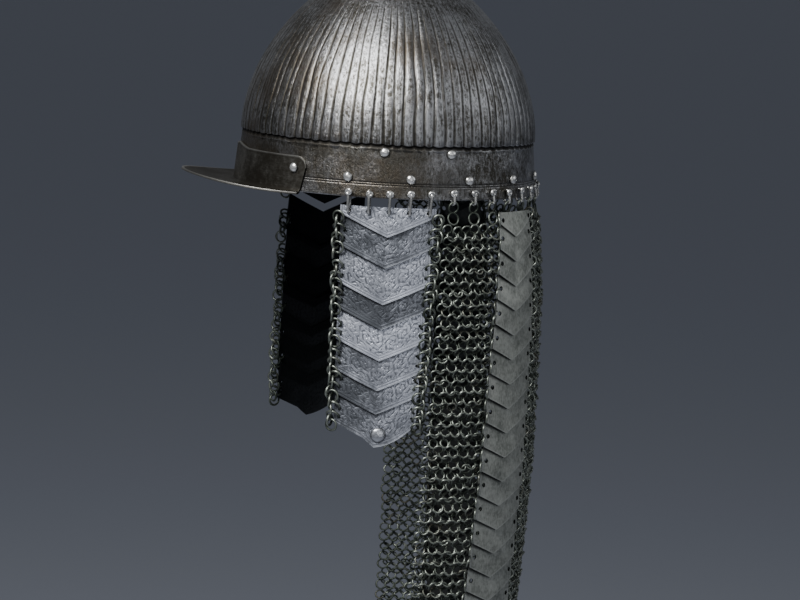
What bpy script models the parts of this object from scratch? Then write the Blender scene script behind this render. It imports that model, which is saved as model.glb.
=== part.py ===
"""Turban helmet: a fluted steel skull with a riveted peak, two cheekpieces of overlapping
chevron plates, and a neck curtain of mail with two columns of small plates.

Metres, +Z up. The origin is the centre of the head opening, in the plane of the rim.
The helmet faces -Y, and the wearer's left is +X. A bearing is an angle in degrees round
the head, 0 at the front, 90 at the wearer's left and 180 at the back.
"""

import math

import bmesh
import bpy
import numpy as np

# Skull: a plain brow band below a fluted bowl, in one piece
RIM_RADIUS = 0.1152
BAND_TOP_RADIUS = 0.1116
BAND_HEIGHT = 0.0403
FLUTE_LEDGE = 0.0014
CROWN_HEIGHT = 0.1330
BOWL_POWER_UP = 1.9
BOWL_POWER_OUT = 1.5
SKULL_WALL = 0.0018
FLUTE_COUNT = 90
FLUTE_DEPTH = 0.0014
FLUTE_TOP_HEIGHT = 0.1250
FLUTE_FADE = 0.0450
LINING_SIDES = 40
BOWL_SHARES = (0.985, 0.92, 0.80, 0.66, 0.50, 0.34, 0.17, 0.0)
HOLLOW_SHARES = (0.98, 0.90, 0.78, 0.62, 0.42, 0.20, 0.0)

# Peak: an upright flange riveted outside the band, and a flat brim
FIT_GAP = 0.0003
PEAK_THICKNESS = 0.0016
PEAK_FLANGE_HEIGHT = 0.0262
PEAK_FLANGE_HALF_ANGLE = 45.4
PEAK_END_SLANT = 1.8
PEAK_CORNER_RADIUS = 0.0080
PEAK_CENTRE_RISE = 0.0030
PEAK_CENTRE_HALF_ANGLE = 12.0
BRIM_DEPTH = 0.0370
BRIM_POWER = 1.4
BRIM_RISE = 0.0070
BRIM_RISE_POWER = 1.8
PEAK_SEGMENTS = 20
PEAK_END_CROWDING = 1.25
PEAK_STATIONS = (1.0, 0.5, 0.06, 0.0, -0.5, -1.0)

# Domed rivets
RIVET_RADIUS = 0.0037
RIVET_DOME = 0.0026
RIVET_SIDES = 8
LOWER_RIVET_COUNT = 11
LOWER_RIVET_FIRST_BEARING = 64.0
LOWER_RIVET_HEIGHT = 0.0145
UPPER_RIVET_BEARINGS = (77.1, 102.7)
UPPER_RIVET_HEIGHT = 0.0335
PEAK_RIVET_BEARING = 42.3
PEAK_RIVET_HEIGHT = 0.0175

# Cheekpieces: eight chevron plates each, every plate tucked under the one above
CHEEK_PLATE_COUNT = 8
CHEEK_PITCH = 0.0218
CHEEK_HANG = (0.0, 0.04, 0.28, 0.12, 0.19, 0.21, 0.01, 0.0)
CHEEK_OVERLAP = 0.0075
CHEEK_TOP_DROP = 0.0065
CHEEK_FIRST_TIP_DROP = 0.0285
CHEEK_CHEVRON_SLOPE = 0.44
CHEEK_PLATE_THICKNESS = 0.0012
CHEEK_PLATE_GAP = 0.0004
CHEEK_INSET = 0.0007
CHEEK_RADIUS = RIM_RADIUS - CHEEK_INSET
CHEEK_TOP_HALF_WIDTH = 0.0364
CHEEK_BOTTOM_HALF_WIDTH = 0.0312
CHEEK_COLUMNS = 6
CHEEK_LOBE = 0.0050
CHEEK_LOBE_START = -0.28
CHEEK_SIDES = {
    # side: sign of X, bearing of the top plate, bearing of the bottom plate,
    # drop of the rest below plate 1, pitch as a share of CHEEK_PITCH
    "left": (1, 79.9, 78.6, 0.0, 1.0),
    "right": (-1, 77.5, 73.0, 0.0120, 1.04),
}

# Domed boss low on each cheekpiece's last plate
BOSS_RADIUS = 0.0055
BOSS_DOME = 0.0018
BOSS_ACROSS = 0.0030
BOSS_RISE = 0.0062

# Links that carry the cheekpieces: oval wire rings through the rim and the top plate
LINK_COUNT = 5
LINK_SPACING = 0.0151
LINK_WIRE_RADIUS = 0.0008
LINK_HOLE_RADIUS = 0.0014
LINK_HOLE_HEIGHT = 0.0045
LINK_PLATE_HOLE_DROP = 0.0040
LINK_HALF_DEPTH = 0.0034
LINK_ARC_STEPS = 4
LINK_HOLE_SIDES = 6

# Mail strips along both edges of each cheekpiece
STRIP_WIDTH = 0.0070
STRIP_THICKNESS = 0.0024
STRIP_TOP_DROP = 0.0085
STRIP_GAP = 0.0008
STRIP_COLUMNS = 2
STRIP_ROWS = 8

# Neck curtain: mail panels and two columns of plates
CURTAIN_LENGTH = 0.3768
CURTAIN_TOP_EDGE_BEARING = 100.5
CURTAIN_EDGE_BEARING = 92.0
CURTAIN_RIGHT_EDGE_BEARING = 107.0
CURTAIN_SQUARENESS = 0.60
CURTAIN_PROFILE = (
    # share of the length below the rim, radius as a share of the rim's radius
    (0.00, 1.012),
    (0.09, 1.045),
    (0.20, 1.070),
    (0.54, 1.062),
    (0.72, 1.030),
    (1.00, 0.970),
)
CURTAIN_SAMPLES = 60
MAIL_THICKNESS = 0.0036
MAIL_TOP_GAP = 0.0006
MAIL_ROWS = 11
MAIL_FACET_WIDTH = 0.0180
COLUMN_BEARING = 134.0
COLUMN_FOOT_BEARINGS = {"left": 125.0, "right": 136.0}
COLUMN_TOP_HALF_WIDTH = 0.0215
COLUMN_HALF_WIDTH = 0.0255
COLUMN_WIDENING = 0.32
COLUMN_PLATE_COUNT = 20
COLUMN_TOP_DROP = 0.0090
COLUMN_CHEVRON_SLOPE = 0.46
COLUMN_THICKNESS = 0.0011
COLUMN_STEP = 0.0016
COLUMN_PROUD = 0.0008
COLUMN_SIDE_GAP = 0.0006
COLUMN_FACETS = 4

PARTS_NAME = "turban_helmet"
CUTTERS_NAME = "cutters"
PLATE_CUTTERS_NAME = "plate_cutters"
MERGE_DISTANCE = 0.00005
CREASE_ANGLE = 40.0


def clear_scene():
    for old in list(bpy.data.objects):
        bpy.data.objects.remove(old, do_unlink=True)


def collection(name):
    made = bpy.data.collections.new(name)
    bpy.context.scene.collection.children.link(made)
    return made


def steel(name, colour, roughness):
    material = bpy.data.materials.new(name)
    material.use_nodes = True
    shader = material.node_tree.nodes["Principled BSDF"]
    shader.inputs["Base Color"].default_value = (*colour, 1.0)
    shader.inputs["Roughness"].default_value = roughness
    shader.inputs["Metallic"].default_value = 1.0
    return material


def around(radius, bearing, z):
    """The point at a radius and a bearing: X is the sine of it, and -Y its cosine."""
    turn = math.radians(bearing)
    return (radius * math.sin(turn), -radius * math.cos(turn), z)


def new_object(name, mesh, group, material=None):
    made = bpy.data.objects.new(name, mesh)
    group.objects.link(made)
    if material:
        mesh.materials.append(material)
    return made


def sheet(name, group, material, columns, rows, place, thickness, mirrored=False):
    """A grid bent into a surface by place(u, v), with u and v from 0 to 1, and made a wall.

    The wall grows to the inner side of the surface.
    """
    mesh = bpy.data.meshes.new(name)
    bm = bmesh.new()
    bmesh.ops.create_grid(bm, x_segments=columns, y_segments=rows, size=0.5)
    for vertex in bm.verts:
        vertex.co = place(vertex.co.x + 0.5, vertex.co.y + 0.5)
    if mirrored:
        bmesh.ops.reverse_faces(bm, faces=bm.faces)
    bm.to_mesh(mesh)
    bm.free()
    made = new_object(name, mesh, group, material)
    wall = made.modifiers.new("wall", "SOLIDIFY")
    wall.thickness = thickness
    wall.offset = -1.0
    wall.use_even_offset = True
    return made


def turned(name, group, profile, steps, material=None):
    """A solid of revolution: a profile of (radius, z) points, from the top down its outer side."""
    mesh = bpy.data.meshes.new(name)
    points = [(radius, 0.0, z) for radius, z in profile]
    edges = [(index, index + 1) for index in range(len(points) - 1)]
    mesh.from_pydata(points, edges, [])
    made = new_object(name, mesh, group, material)
    screw = made.modifiers.new("turn", "SCREW")
    screw.axis = "Z"
    screw.steps = steps
    screw.render_steps = steps
    screw.use_merge_vertices = True
    screw.merge_threshold = MERGE_DISTANCE
    return made


def applied(made):
    """The object again with its modifiers made real."""
    depsgraph = bpy.context.evaluated_depsgraph_get()
    mesh = bpy.data.meshes.new_from_object(made.evaluated_get(depsgraph))
    made.modifiers.clear()
    made.data = mesh
    return made


def hide_as_cutter(made):
    made.hide_render = True
    made.display_type = "WIRE"


# Skull

def band_radius(z):
    """Outer radius of the brow band, which flares evenly down to the rim."""
    return RIM_RADIUS + (BAND_TOP_RADIUS - RIM_RADIUS) * z / BAND_HEIGHT


def bowl_radius(height, base=BAND_TOP_RADIUS + FLUTE_LEDGE, crown=CROWN_HEIGHT):
    """Radius of the bowl over the flute line: (height/crown)^up + (radius/base)^out = 1."""
    left = 1.0 - (height / crown) ** BOWL_POWER_UP
    return base * max(left, 0.0) ** (1.0 / BOWL_POWER_OUT)


def flute_fade(height):
    """The share of the full flute depth: full over most of the bowl, and none at the crown."""
    return min(1.0, max(0.0, (FLUTE_TOP_HEIGHT - height) / FLUTE_FADE))


def make_skull(parts, cutters, material):
    """The bowl's flutes are every other column of points, drawn in by the flute depth."""
    profile = [(0.0, BAND_HEIGHT + CROWN_HEIGHT)]
    profile += [(bowl_radius(share * CROWN_HEIGHT), BAND_HEIGHT + share * CROWN_HEIGHT)
                for share in BOWL_SHARES]
    profile += [(BAND_TOP_RADIUS, BAND_HEIGHT - FLUTE_LEDGE), (RIM_RADIUS, 0.0), (0.0, 0.0)]
    columns = FLUTE_COUNT * 2
    skull = applied(turned("skull", parts, profile, columns, material))

    points = np.empty(len(skull.data.vertices) * 3)
    skull.data.vertices.foreach_get("co", points)
    points = points.reshape(-1, 3)
    column = np.rint(np.arctan2(points[:, 1], points[:, 0]) / (2 * np.pi) * columns)
    height = points[:, 2] - BAND_HEIGHT
    depth = FLUTE_DEPTH * np.array([flute_fade(value) for value in height])
    radius = np.hypot(points[:, 0], points[:, 1])
    grooved = (height > -FLUTE_LEDGE / 2) & (column % 2 == 1) & (radius > MERGE_DISTANCE)
    points[grooved, :2] *= (1.0 - depth[grooved] / radius[grooved])[:, None]
    skull.data.vertices.foreach_set("co", points.ravel())
    skull.data.update()

    inner_base = BAND_TOP_RADIUS - SKULL_WALL
    inner_crown = CROWN_HEIGHT - SKULL_WALL
    inner = [(0.0, BAND_HEIGHT + inner_crown)]
    inner += [(bowl_radius(share * inner_crown, inner_base, inner_crown),
               BAND_HEIGHT + share * inner_crown)
              for share in HOLLOW_SHARES]
    inner += [(RIM_RADIUS - SKULL_WALL, 0.0), (RIM_RADIUS - SKULL_WALL, -SKULL_WALL),
              (0.0, -SKULL_WALL)]
    hollow = turned("skull_hollow", cutters, inner, LINING_SIDES)
    hide_as_cutter(hollow)
    for side in CHEEK_SIDES:
        for number in range(LINK_COUNT):
            make_link_hole(f"rim_hole_{side}_{number + 1}", cutters, link_bearing(side, number),
                           RIM_RADIUS - SKULL_WALL / 2, SKULL_WALL, LINK_HOLE_HEIGHT)

    cut = skull.modifiers.new("hollow", "BOOLEAN")
    cut.operation = "DIFFERENCE"
    cut.operand_type = "COLLECTION"
    cut.collection = cutters
    skull.data.shade_smooth()
    skull.data.set_sharp_from_angle(angle=math.radians(CREASE_ANGLE))
    return skull


# Peak

def brim_width(bearing):
    """Width of the brim: a crescent, full at the front and nothing at the flange's ends."""
    share = min(1.0, abs(bearing) / PEAK_FLANGE_HALF_ANGLE)
    return PEAK_THICKNESS + BRIM_DEPTH * max(0.0, math.cos(share * math.pi / 2)) ** BRIM_POWER


def brim_rise(width):
    """How far the brim has turned up at a distance out from the flange."""
    return BRIM_RISE * (width / BRIM_DEPTH) ** BRIM_RISE_POWER


def flange_height(bearing):
    """Height of the flange: level, with rounded ends and a low point over the brow."""
    from_end = math.radians(PEAK_FLANGE_HALF_ANGLE - abs(bearing)) * RIM_RADIUS
    lost = 0.0
    if from_end < PEAK_CORNER_RADIUS:
        reach = PEAK_CORNER_RADIUS - from_end
        lost = PEAK_CORNER_RADIUS - math.sqrt(max(PEAK_CORNER_RADIUS ** 2 - reach ** 2, 0.0))
    rise = PEAK_CENTRE_RISE * max(0.0, 1.0 - abs(bearing) / PEAK_CENTRE_HALF_ANGLE)
    return PEAK_FLANGE_HEIGHT + rise - lost


def make_peak(parts, material):
    """One sheet: a station above 0 is a share of the flange's height, below 0 of the brim's width.

    The flange's outer face stands off the band by its thickness and the fit gap.
    """
    stand_off = PEAK_THICKNESS + FIT_GAP

    def place(u, v):
        swing = (u - 0.5) * 2
        crowded = 1 - (1 - abs(swing)) ** PEAK_END_CROWDING
        bearing = PEAK_FLANGE_HALF_ANGLE * math.copysign(crowded, swing)
        station = PEAK_STATIONS[round(v * (len(PEAK_STATIONS) - 1))]
        if station >= 0.0:
            z = station * flange_height(bearing)
            slant = PEAK_END_SLANT * station * swing
            radius = band_radius(z) + stand_off + (station == 0.0) * PEAK_THICKNESS
            return around(radius, bearing + slant, z)
        width = -station * brim_width(bearing)
        reach = band_radius(0.0) + stand_off + PEAK_THICKNESS + width
        return around(reach, bearing, brim_rise(width))

    return sheet("peak", parts, material, PEAK_SEGMENTS, len(PEAK_STATIONS) - 1, place,
                 PEAK_THICKNESS, mirrored=True)


# Rivets

def make_dome(name, parts, material, seat, turn, width, rise):
    """A domed head: half of a squashed ball, its flat face on the seat.

    turn gives the angles of its axis: how far it leans back from level, and its bearing.
    """
    mesh = bpy.data.meshes.new(name)
    bm = bmesh.new()
    bmesh.ops.create_uvsphere(bm, u_segments=RIVET_SIDES, v_segments=6, radius=1.0)
    bmesh.ops.bisect_plane(bm, geom=bm.verts[:] + bm.edges[:] + bm.faces[:], dist=MERGE_DISTANCE,
                           plane_co=(0, 0, 0), plane_no=(0, 0, -1), clear_outer=True)
    bmesh.ops.holes_fill(bm, edges=[edge for edge in bm.edges if edge.is_boundary])
    bmesh.ops.scale(bm, vec=(width, width, rise), verts=bm.verts)
    bmesh.ops.recalc_face_normals(bm, faces=bm.faces)
    bm.to_mesh(mesh)
    bm.free()
    dome = new_object(name, mesh, parts, material)
    dome.location = seat
    dome.rotation_euler = (math.pi / 2 - turn[0], 0.0, turn[1])
    mesh.shade_smooth()
    mesh.set_sharp_from_angle(angle=math.radians(CREASE_ANGLE))
    return dome


def make_rivet(name, parts, material, bearing, height, seat_radius):
    return make_dome(name, parts, material, around(seat_radius, bearing, height),
                     (0.0, math.radians(bearing)), RIVET_RADIUS, RIVET_DOME)


def rivet_seat(height):
    """Radius at which a flat head clears the round band by the fit gap, over all its width."""
    return max(band_radius(height - RIVET_RADIUS), band_radius(height + RIVET_RADIUS)) + FIT_GAP


def make_rivets(parts, material):
    spread = 360.0 - 2 * LOWER_RIVET_FIRST_BEARING
    for number in range(LOWER_RIVET_COUNT):
        bearing = LOWER_RIVET_FIRST_BEARING + spread * number / (LOWER_RIVET_COUNT - 1)
        make_rivet(f"rivet_lower_{number + 1}", parts, material, bearing,
                   LOWER_RIVET_HEIGHT, rivet_seat(LOWER_RIVET_HEIGHT))
    for side, sign in (("left", 1), ("right", -1)):
        for number, bearing in enumerate(UPPER_RIVET_BEARINGS, start=1):
            make_rivet(f"rivet_upper_{side}_{number}", parts, material, sign * bearing,
                       UPPER_RIVET_HEIGHT, rivet_seat(UPPER_RIVET_HEIGHT))
        make_rivet(f"rivet_peak_{side}", parts, material, sign * PEAK_RIVET_BEARING,
                   PEAK_RIVET_HEIGHT,
                   rivet_seat(PEAK_RIVET_HEIGHT) + PEAK_THICKNESS + FIT_GAP)


# Cheekpieces

def cheek_lean():
    """How much nearer the head a plate gets for each metre up, so that it clears the plate above."""
    closest = min(1.0 + after - before for before, after in zip(CHEEK_HANG, CHEEK_HANG[1:]))
    return (CHEEK_PLATE_THICKNESS + CHEEK_PLATE_GAP) / (CHEEK_PITCH * closest)


def cheek_centre(side, z):
    """Bearing of a cheekpiece's middle line at a height."""
    sign, top, bottom, _, _ = CHEEK_SIDES[side]
    depth = min(1.0, max(0.0, -z / (CHEEK_PITCH * CHEEK_PLATE_COUNT)))
    return sign * (top + (bottom - top) * depth)


def cheek_half_width(number):
    share = (number - 1) / (CHEEK_PLATE_COUNT - 1)
    return CHEEK_TOP_HALF_WIDTH + (CHEEK_BOTTOM_HALF_WIDTH - CHEEK_TOP_HALF_WIDTH) * share


def cheek_tip(side, number):
    """Height of a plate's lower point."""
    slip, stretch = CHEEK_SIDES[side][3:]
    plates_above = (number - 1) * stretch + CHEEK_HANG[number - 1]
    return -CHEEK_FIRST_TIP_DROP - CHEEK_PITCH * plates_above - slip * (number > 1)


def cheek_point(side, number, across, z):
    """A point on a plate's outer face: across is metres from its middle line to the back."""
    sign = CHEEK_SIDES[side][0]
    radius = CHEEK_RADIUS - cheek_lean() * (z - cheek_tip(side, number))
    bearing = cheek_centre(side, cheek_tip(side, number)) + sign * math.degrees(across / CHEEK_RADIUS)
    return around(radius, bearing, z)


def lobe_drop(swing):
    """How far the last plate's edge bulges below the chevron: half a sine wave, to the back."""
    share = (swing - CHEEK_LOBE_START) / (1.0 - CHEEK_LOBE_START)
    return CHEEK_LOBE * math.sin(max(0.0, share) * math.pi)


def make_boss(side, parts, material):
    """A dome on the last plate's outer face, leaning as the plate leans."""
    sign = CHEEK_SIDES[side][0]
    tip = cheek_tip(side, CHEEK_PLATE_COUNT)
    bearing = cheek_centre(side, tip) + sign * math.degrees(BOSS_ACROSS / CHEEK_RADIUS)
    radius = CHEEK_RADIUS - cheek_lean() * BOSS_RISE + FIT_GAP
    make_dome(f"cheek_boss_{side}", parts, material, around(radius, bearing, tip + BOSS_RISE),
              (math.atan(cheek_lean()), math.radians(bearing)), BOSS_RADIUS, BOSS_DOME)


def make_cheek_plate(side, number, parts, cutters_group, material):
    half = cheek_half_width(number)
    tip = cheek_tip(side, number)
    last = number == CHEEK_PLATE_COUNT

    def place(u, v):
        swing = (u - 0.5) * 2
        chevron = tip + abs(swing) * half * CHEEK_CHEVRON_SLOPE
        low = chevron - lobe_drop(swing) * last
        high = min(chevron + CHEEK_PITCH + CHEEK_OVERLAP, link_plate_height() - 2 * LINK_HOLE_RADIUS)
        if number == 1:
            high = -CHEEK_TOP_DROP
        return cheek_point(side, number, swing * half, low + (high - low) * v)

    name = f"cheek_plate_{side}_{number}"
    plate = sheet(name, parts, material, CHEEK_COLUMNS, 1, place, CHEEK_PLATE_THICKNESS,
                  mirrored=CHEEK_SIDES[side][0] < 0)
    if number == 1:
        cut = plate.modifiers.new("link_holes", "BOOLEAN")
        cut.operation = "DIFFERENCE"
        cut.operand_type = "COLLECTION"
        cut.collection = cutters_group
    return plate


# Links of the cheekpieces

def link_bearing(side, number):
    sign, centre = CHEEK_SIDES[side][:2]
    from_middle = (number - (LINK_COUNT - 1) / 2) * LINK_SPACING
    return sign * (centre + math.degrees(from_middle / CHEEK_RADIUS))


def link_plate_height():
    return -CHEEK_TOP_DROP - LINK_PLATE_HOLE_DROP


def link_plate_radius(side):
    """Radius of the top plate's middle surface at its link holes."""
    lean = cheek_lean() * (link_plate_height() - cheek_tip(side, 1))
    return CHEEK_RADIUS - lean - CHEEK_PLATE_THICKNESS / 2


def make_link_hole(name, cutters, bearing, radius, wall, z):
    """A short rod that points at the axis, centred in a wall and longer than it, to cut a hole."""
    mesh = bpy.data.meshes.new(name)
    bm = bmesh.new()
    bmesh.ops.create_cone(bm, cap_ends=True, segments=LINK_HOLE_SIDES, radius1=LINK_HOLE_RADIUS,
                          radius2=LINK_HOLE_RADIUS, depth=4 * wall)
    bm.to_mesh(mesh)
    bm.free()
    rod = new_object(name, mesh, cutters)
    rod.location = around(radius, bearing, z)
    rod.rotation_euler = (math.pi / 2, 0.0, math.radians(bearing))
    hide_as_cutter(rod)


def make_link(side, number, parts, material):
    """A long ring of wire in the plane through the helmet's axis: two half circles and two legs.

    Its ends run level through the middle of the rim's hole and of the top plate's hole.
    """
    bearing = link_bearing(side, number)
    flat = math.cos(math.pi / LINK_ARC_STEPS / 2)
    ends = (
        # height and radius of the hole's middle, and 1 for the upper end, -1 for the lower
        (LINK_HOLE_HEIGHT, band_radius(LINK_HOLE_HEIGHT) - SKULL_WALL / 2, 1),
        (link_plate_height(), link_plate_radius(side), -1),
    )
    route = []
    for height, radius, end in ends:
        for step in range(LINK_ARC_STEPS):
            turn = math.pi * ((step + 0.5) / LINK_ARC_STEPS - 0.5)
            out = math.sin(turn) * end * LINK_HALF_DEPTH
            rise = (math.cos(turn) - flat) * end * LINK_HALF_DEPTH
            route.append(around(radius + out, bearing, height + rise))
    name = f"cheek_link_{side}_{number + 1}"
    curve = bpy.data.curves.new(name, "CURVE")
    curve.dimensions = "3D"
    spline = curve.splines.new("POLY")
    spline.points.add(len(route) - 1)
    for point, place in zip(spline.points, route):
        point.co = (*place, 1.0)
    spline.use_cyclic_u = True
    curve.bevel_depth = LINK_WIRE_RADIUS
    curve.bevel_resolution = 1
    curve.materials.append(material)
    link = bpy.data.objects.new(name, curve)
    parts.objects.link(link)
    return link


# Mail strips at the cheekpieces' edges

def make_strip(side, edge, parts, material):
    """A band of mail just outside the plates' edge; edge is -1 in front and 1 behind."""
    sign = CHEEK_SIDES[side][0]
    top = -STRIP_TOP_DROP
    bottom_tip = cheek_tip(side, CHEEK_PLATE_COUNT)
    bottom = bottom_tip + cheek_half_width(CHEEK_PLATE_COUNT) * CHEEK_CHEVRON_SLOPE
    outer = CHEEK_RADIUS + STRIP_THICKNESS / 2 - CHEEK_PLATE_THICKNESS

    def place(u, v):
        z = bottom + (top - bottom) * v
        number = min(max(1.0 + (-z - CHEEK_FIRST_TIP_DROP) / CHEEK_PITCH, 1.0), CHEEK_PLATE_COUNT)
        half = cheek_half_width(number) + STRIP_GAP
        across = edge * (half + STRIP_WIDTH * (u if edge > 0 else 1 - u))
        centre = cheek_centre(side, z - CHEEK_PITCH / 2)
        return around(outer, centre + sign * math.degrees(across / CHEEK_RADIUS), z)

    name = f"cheek_mail_{side}_{'front' if edge < 0 else 'back'}"
    return sheet(name, parts, material, STRIP_COLUMNS, STRIP_ROWS, place, STRIP_THICKNESS,
                 mirrored=sign < 0)


# Neck curtain

def curtain_radius(drop):
    shares = [row[0] for row in CURTAIN_PROFILE]
    radii = [row[1] for row in CURTAIN_PROFILE]
    return RIM_RADIUS * float(np.interp(drop, shares, radii))


def curtain_point(side_share, drop, proud=0.0):
    """A point of the curtain's middle surface, a little proud of it if asked.

    side_share runs in equal lengths from -1 by the back, 0, to 1, where the hem's left
    corner is. The plan is |x/r|^n + |y/r|^n = 1, with n growing from 2.
    """
    power = 2.0 + CURTAIN_SQUARENESS * drop
    bearing = np.radians(np.linspace(180.0, CURTAIN_EDGE_BEARING, CURTAIN_SAMPLES))
    sine, cosine = np.sin(bearing), -np.cos(bearing)
    radius = curtain_radius(drop) * (np.abs(sine) ** power + np.abs(cosine) ** power) ** (-1 / power)
    x, y = radius * sine, radius * cosine
    length = np.concatenate(([0.0], np.cumsum(np.hypot(np.diff(x), np.diff(y)))))
    at = abs(side_share) * length[-1]
    place = np.array([np.interp(at, length, x) * math.copysign(1.0, side_share),
                      np.interp(at, length, y)])
    place *= 1.0 + proud / np.hypot(*place)
    return (place[0], place[1], -drop * CURTAIN_LENGTH)


def edge_length():
    """Half the curtain's length round the neck, as a circle at its fullest."""
    fullest = max(row[1] for row in CURTAIN_PROFILE)
    return RIM_RADIUS * fullest * math.radians(180.0 - CURTAIN_EDGE_BEARING)


def share_of_bearing(bearing):
    return (180.0 - bearing) / (180.0 - CURTAIN_EDGE_BEARING)


def left_edge(drop):
    """Where the curtain ends at the left: its edge comes forward evenly down to the hem."""
    forward = CURTAIN_TOP_EDGE_BEARING + (CURTAIN_EDGE_BEARING - CURTAIN_TOP_EDGE_BEARING) * drop
    return share_of_bearing(forward)


def column_half_width(drop):
    """Half the width of a plate column: it widens evenly down to a share of its length."""
    widened = min(1.0, drop / COLUMN_WIDENING)
    return COLUMN_TOP_HALF_WIDTH + (COLUMN_HALF_WIDTH - COLUMN_TOP_HALF_WIDTH) * widened


def column_centre(side, drop):
    foot = COLUMN_FOOT_BEARINGS[side]
    return share_of_bearing(COLUMN_BEARING + (foot - COLUMN_BEARING) * drop)


def column_inner(side, drop):
    """Where a plate column begins along its half of the curtain, from the back."""
    return column_centre(side, drop) - column_half_width(drop) / edge_length()


def column_outer(side, drop):
    return column_centre(side, drop) + column_half_width(drop) / edge_length()


def make_mail(name, start, end, parts, material):
    """A panel of mail; start and end give its side shares at a drop."""
    top = MAIL_TOP_GAP / CURTAIN_LENGTH
    columns = math.ceil((end(top) - start(top)) * edge_length() / MAIL_FACET_WIDTH)

    def place(u, v):
        drop = 1.0 + (top - 1.0) * v
        share = start(drop) + (end(drop) - start(drop)) * u
        return curtain_point(share, drop, proud=MAIL_THICKNESS / 2)

    return sheet(name, parts, material, columns, MAIL_ROWS, place, MAIL_THICKNESS, mirrored=True)


def make_column(side, sign, parts, material):
    """A strip of chevron plates: each ends in a step out, over the top of the next plate."""
    gap = COLUMN_SIDE_GAP / edge_length()
    pitch = (CURTAIN_LENGTH - COLUMN_TOP_DROP) / COLUMN_PLATE_COUNT
    rows = COLUMN_PLATE_COUNT * 2 - 1

    def place(u, v):
        row = round(v * rows)
        plate, is_top = divmod(row, 2)
        low_edge = -CURTAIN_LENGTH + plate * pitch
        swing = abs(u - 0.5) * 2
        z = low_edge + swing * COLUMN_HALF_WIDTH * COLUMN_CHEVRON_SLOPE
        if is_top:
            z += pitch - FIT_GAP
        if row == rows:
            z = -COLUMN_TOP_DROP
        drop = min(max(-z / CURTAIN_LENGTH, 0.0), 1.0)
        near = column_inner(side, drop) + gap
        far = column_outer(side, drop) - gap
        point = curtain_point(near + (far - near) * u, drop,
                              proud=COLUMN_PROUD + COLUMN_STEP * (not is_top))
        return (sign * point[0], point[1], z)

    return sheet(f"neck_plates_{side}", parts, material, COLUMN_FACETS, rows, place, COLUMN_THICKNESS,
                 mirrored=sign > 0)


def make_curtain(parts, mail, plate):
    right_edge = -share_of_bearing(CURTAIN_RIGHT_EDGE_BEARING)
    make_mail("mail_back", lambda drop: -column_inner("right", drop),
              lambda drop: column_inner("left", drop), parts, mail)
    make_mail("mail_left", lambda drop: column_outer("left", drop), left_edge, parts, mail)
    make_mail("mail_right", lambda drop: right_edge, lambda drop: -column_outer("right", drop),
              parts, mail)
    for side, sign in (("left", 1), ("right", -1)):
        make_column(side, sign, parts, plate)


def main():
    clear_scene()
    parts = collection(PARTS_NAME)
    cutters = collection(CUTTERS_NAME)
    plate_cutters = collection(PLATE_CUTTERS_NAME)
    dark_steel = steel("dark_steel", (0.20, 0.19, 0.18), 0.42)
    plate_steel = steel("plate_steel", (0.42, 0.43, 0.45), 0.40)
    bright_steel = steel("bright_steel", (0.70, 0.69, 0.66), 0.28)
    mail_steel = steel("mail_steel", (0.24, 0.25, 0.24), 0.45)

    make_skull(parts, cutters, dark_steel)
    make_peak(parts, dark_steel)
    make_rivets(parts, bright_steel)
    for side in CHEEK_SIDES:
        for number in range(LINK_COUNT):
            make_link_hole(f"plate_hole_{side}_{number + 1}", plate_cutters,
                           link_bearing(side, number), link_plate_radius(side),
                           CHEEK_PLATE_THICKNESS, link_plate_height())
            make_link(side, number, parts, bright_steel)
        for number in range(1, CHEEK_PLATE_COUNT + 1):
            make_cheek_plate(side, number, parts, plate_cutters, plate_steel)
        make_boss(side, parts, bright_steel)
        for edge in (-1, 1):
            make_strip(side, edge, parts, mail_steel)
    make_curtain(parts, mail_steel, plate_steel)


main()
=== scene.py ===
"""Looks of the turban helmet: fine surfaces, rings of mail and worn steel round the frame.

Metres, +Z up, the helmet faces -Y. A bearing is an angle in degrees round the head, 0 at
the front, 90 at the wearer's left. A grid's rows run down and its columns with the bearing.
"""

import math

import bmesh
import bpy
import numpy as np
from mathutils import Matrix, Vector


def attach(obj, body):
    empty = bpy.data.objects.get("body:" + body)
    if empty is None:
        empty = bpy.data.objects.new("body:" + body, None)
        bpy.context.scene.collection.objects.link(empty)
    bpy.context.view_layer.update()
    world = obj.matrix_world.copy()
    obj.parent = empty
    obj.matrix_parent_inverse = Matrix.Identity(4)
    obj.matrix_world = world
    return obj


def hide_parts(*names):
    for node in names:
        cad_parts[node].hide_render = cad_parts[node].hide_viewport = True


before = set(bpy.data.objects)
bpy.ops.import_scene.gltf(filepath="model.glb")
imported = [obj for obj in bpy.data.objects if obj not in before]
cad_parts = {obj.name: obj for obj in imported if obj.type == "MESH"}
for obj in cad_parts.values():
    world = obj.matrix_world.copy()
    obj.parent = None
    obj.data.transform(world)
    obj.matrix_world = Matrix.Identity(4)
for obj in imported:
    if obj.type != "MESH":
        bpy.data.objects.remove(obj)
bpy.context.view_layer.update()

MM = 0.001
BODY = "root"
MERGE_DISTANCE = 0.02 * MM
SHARP_ANGLE = math.radians(40)

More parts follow.
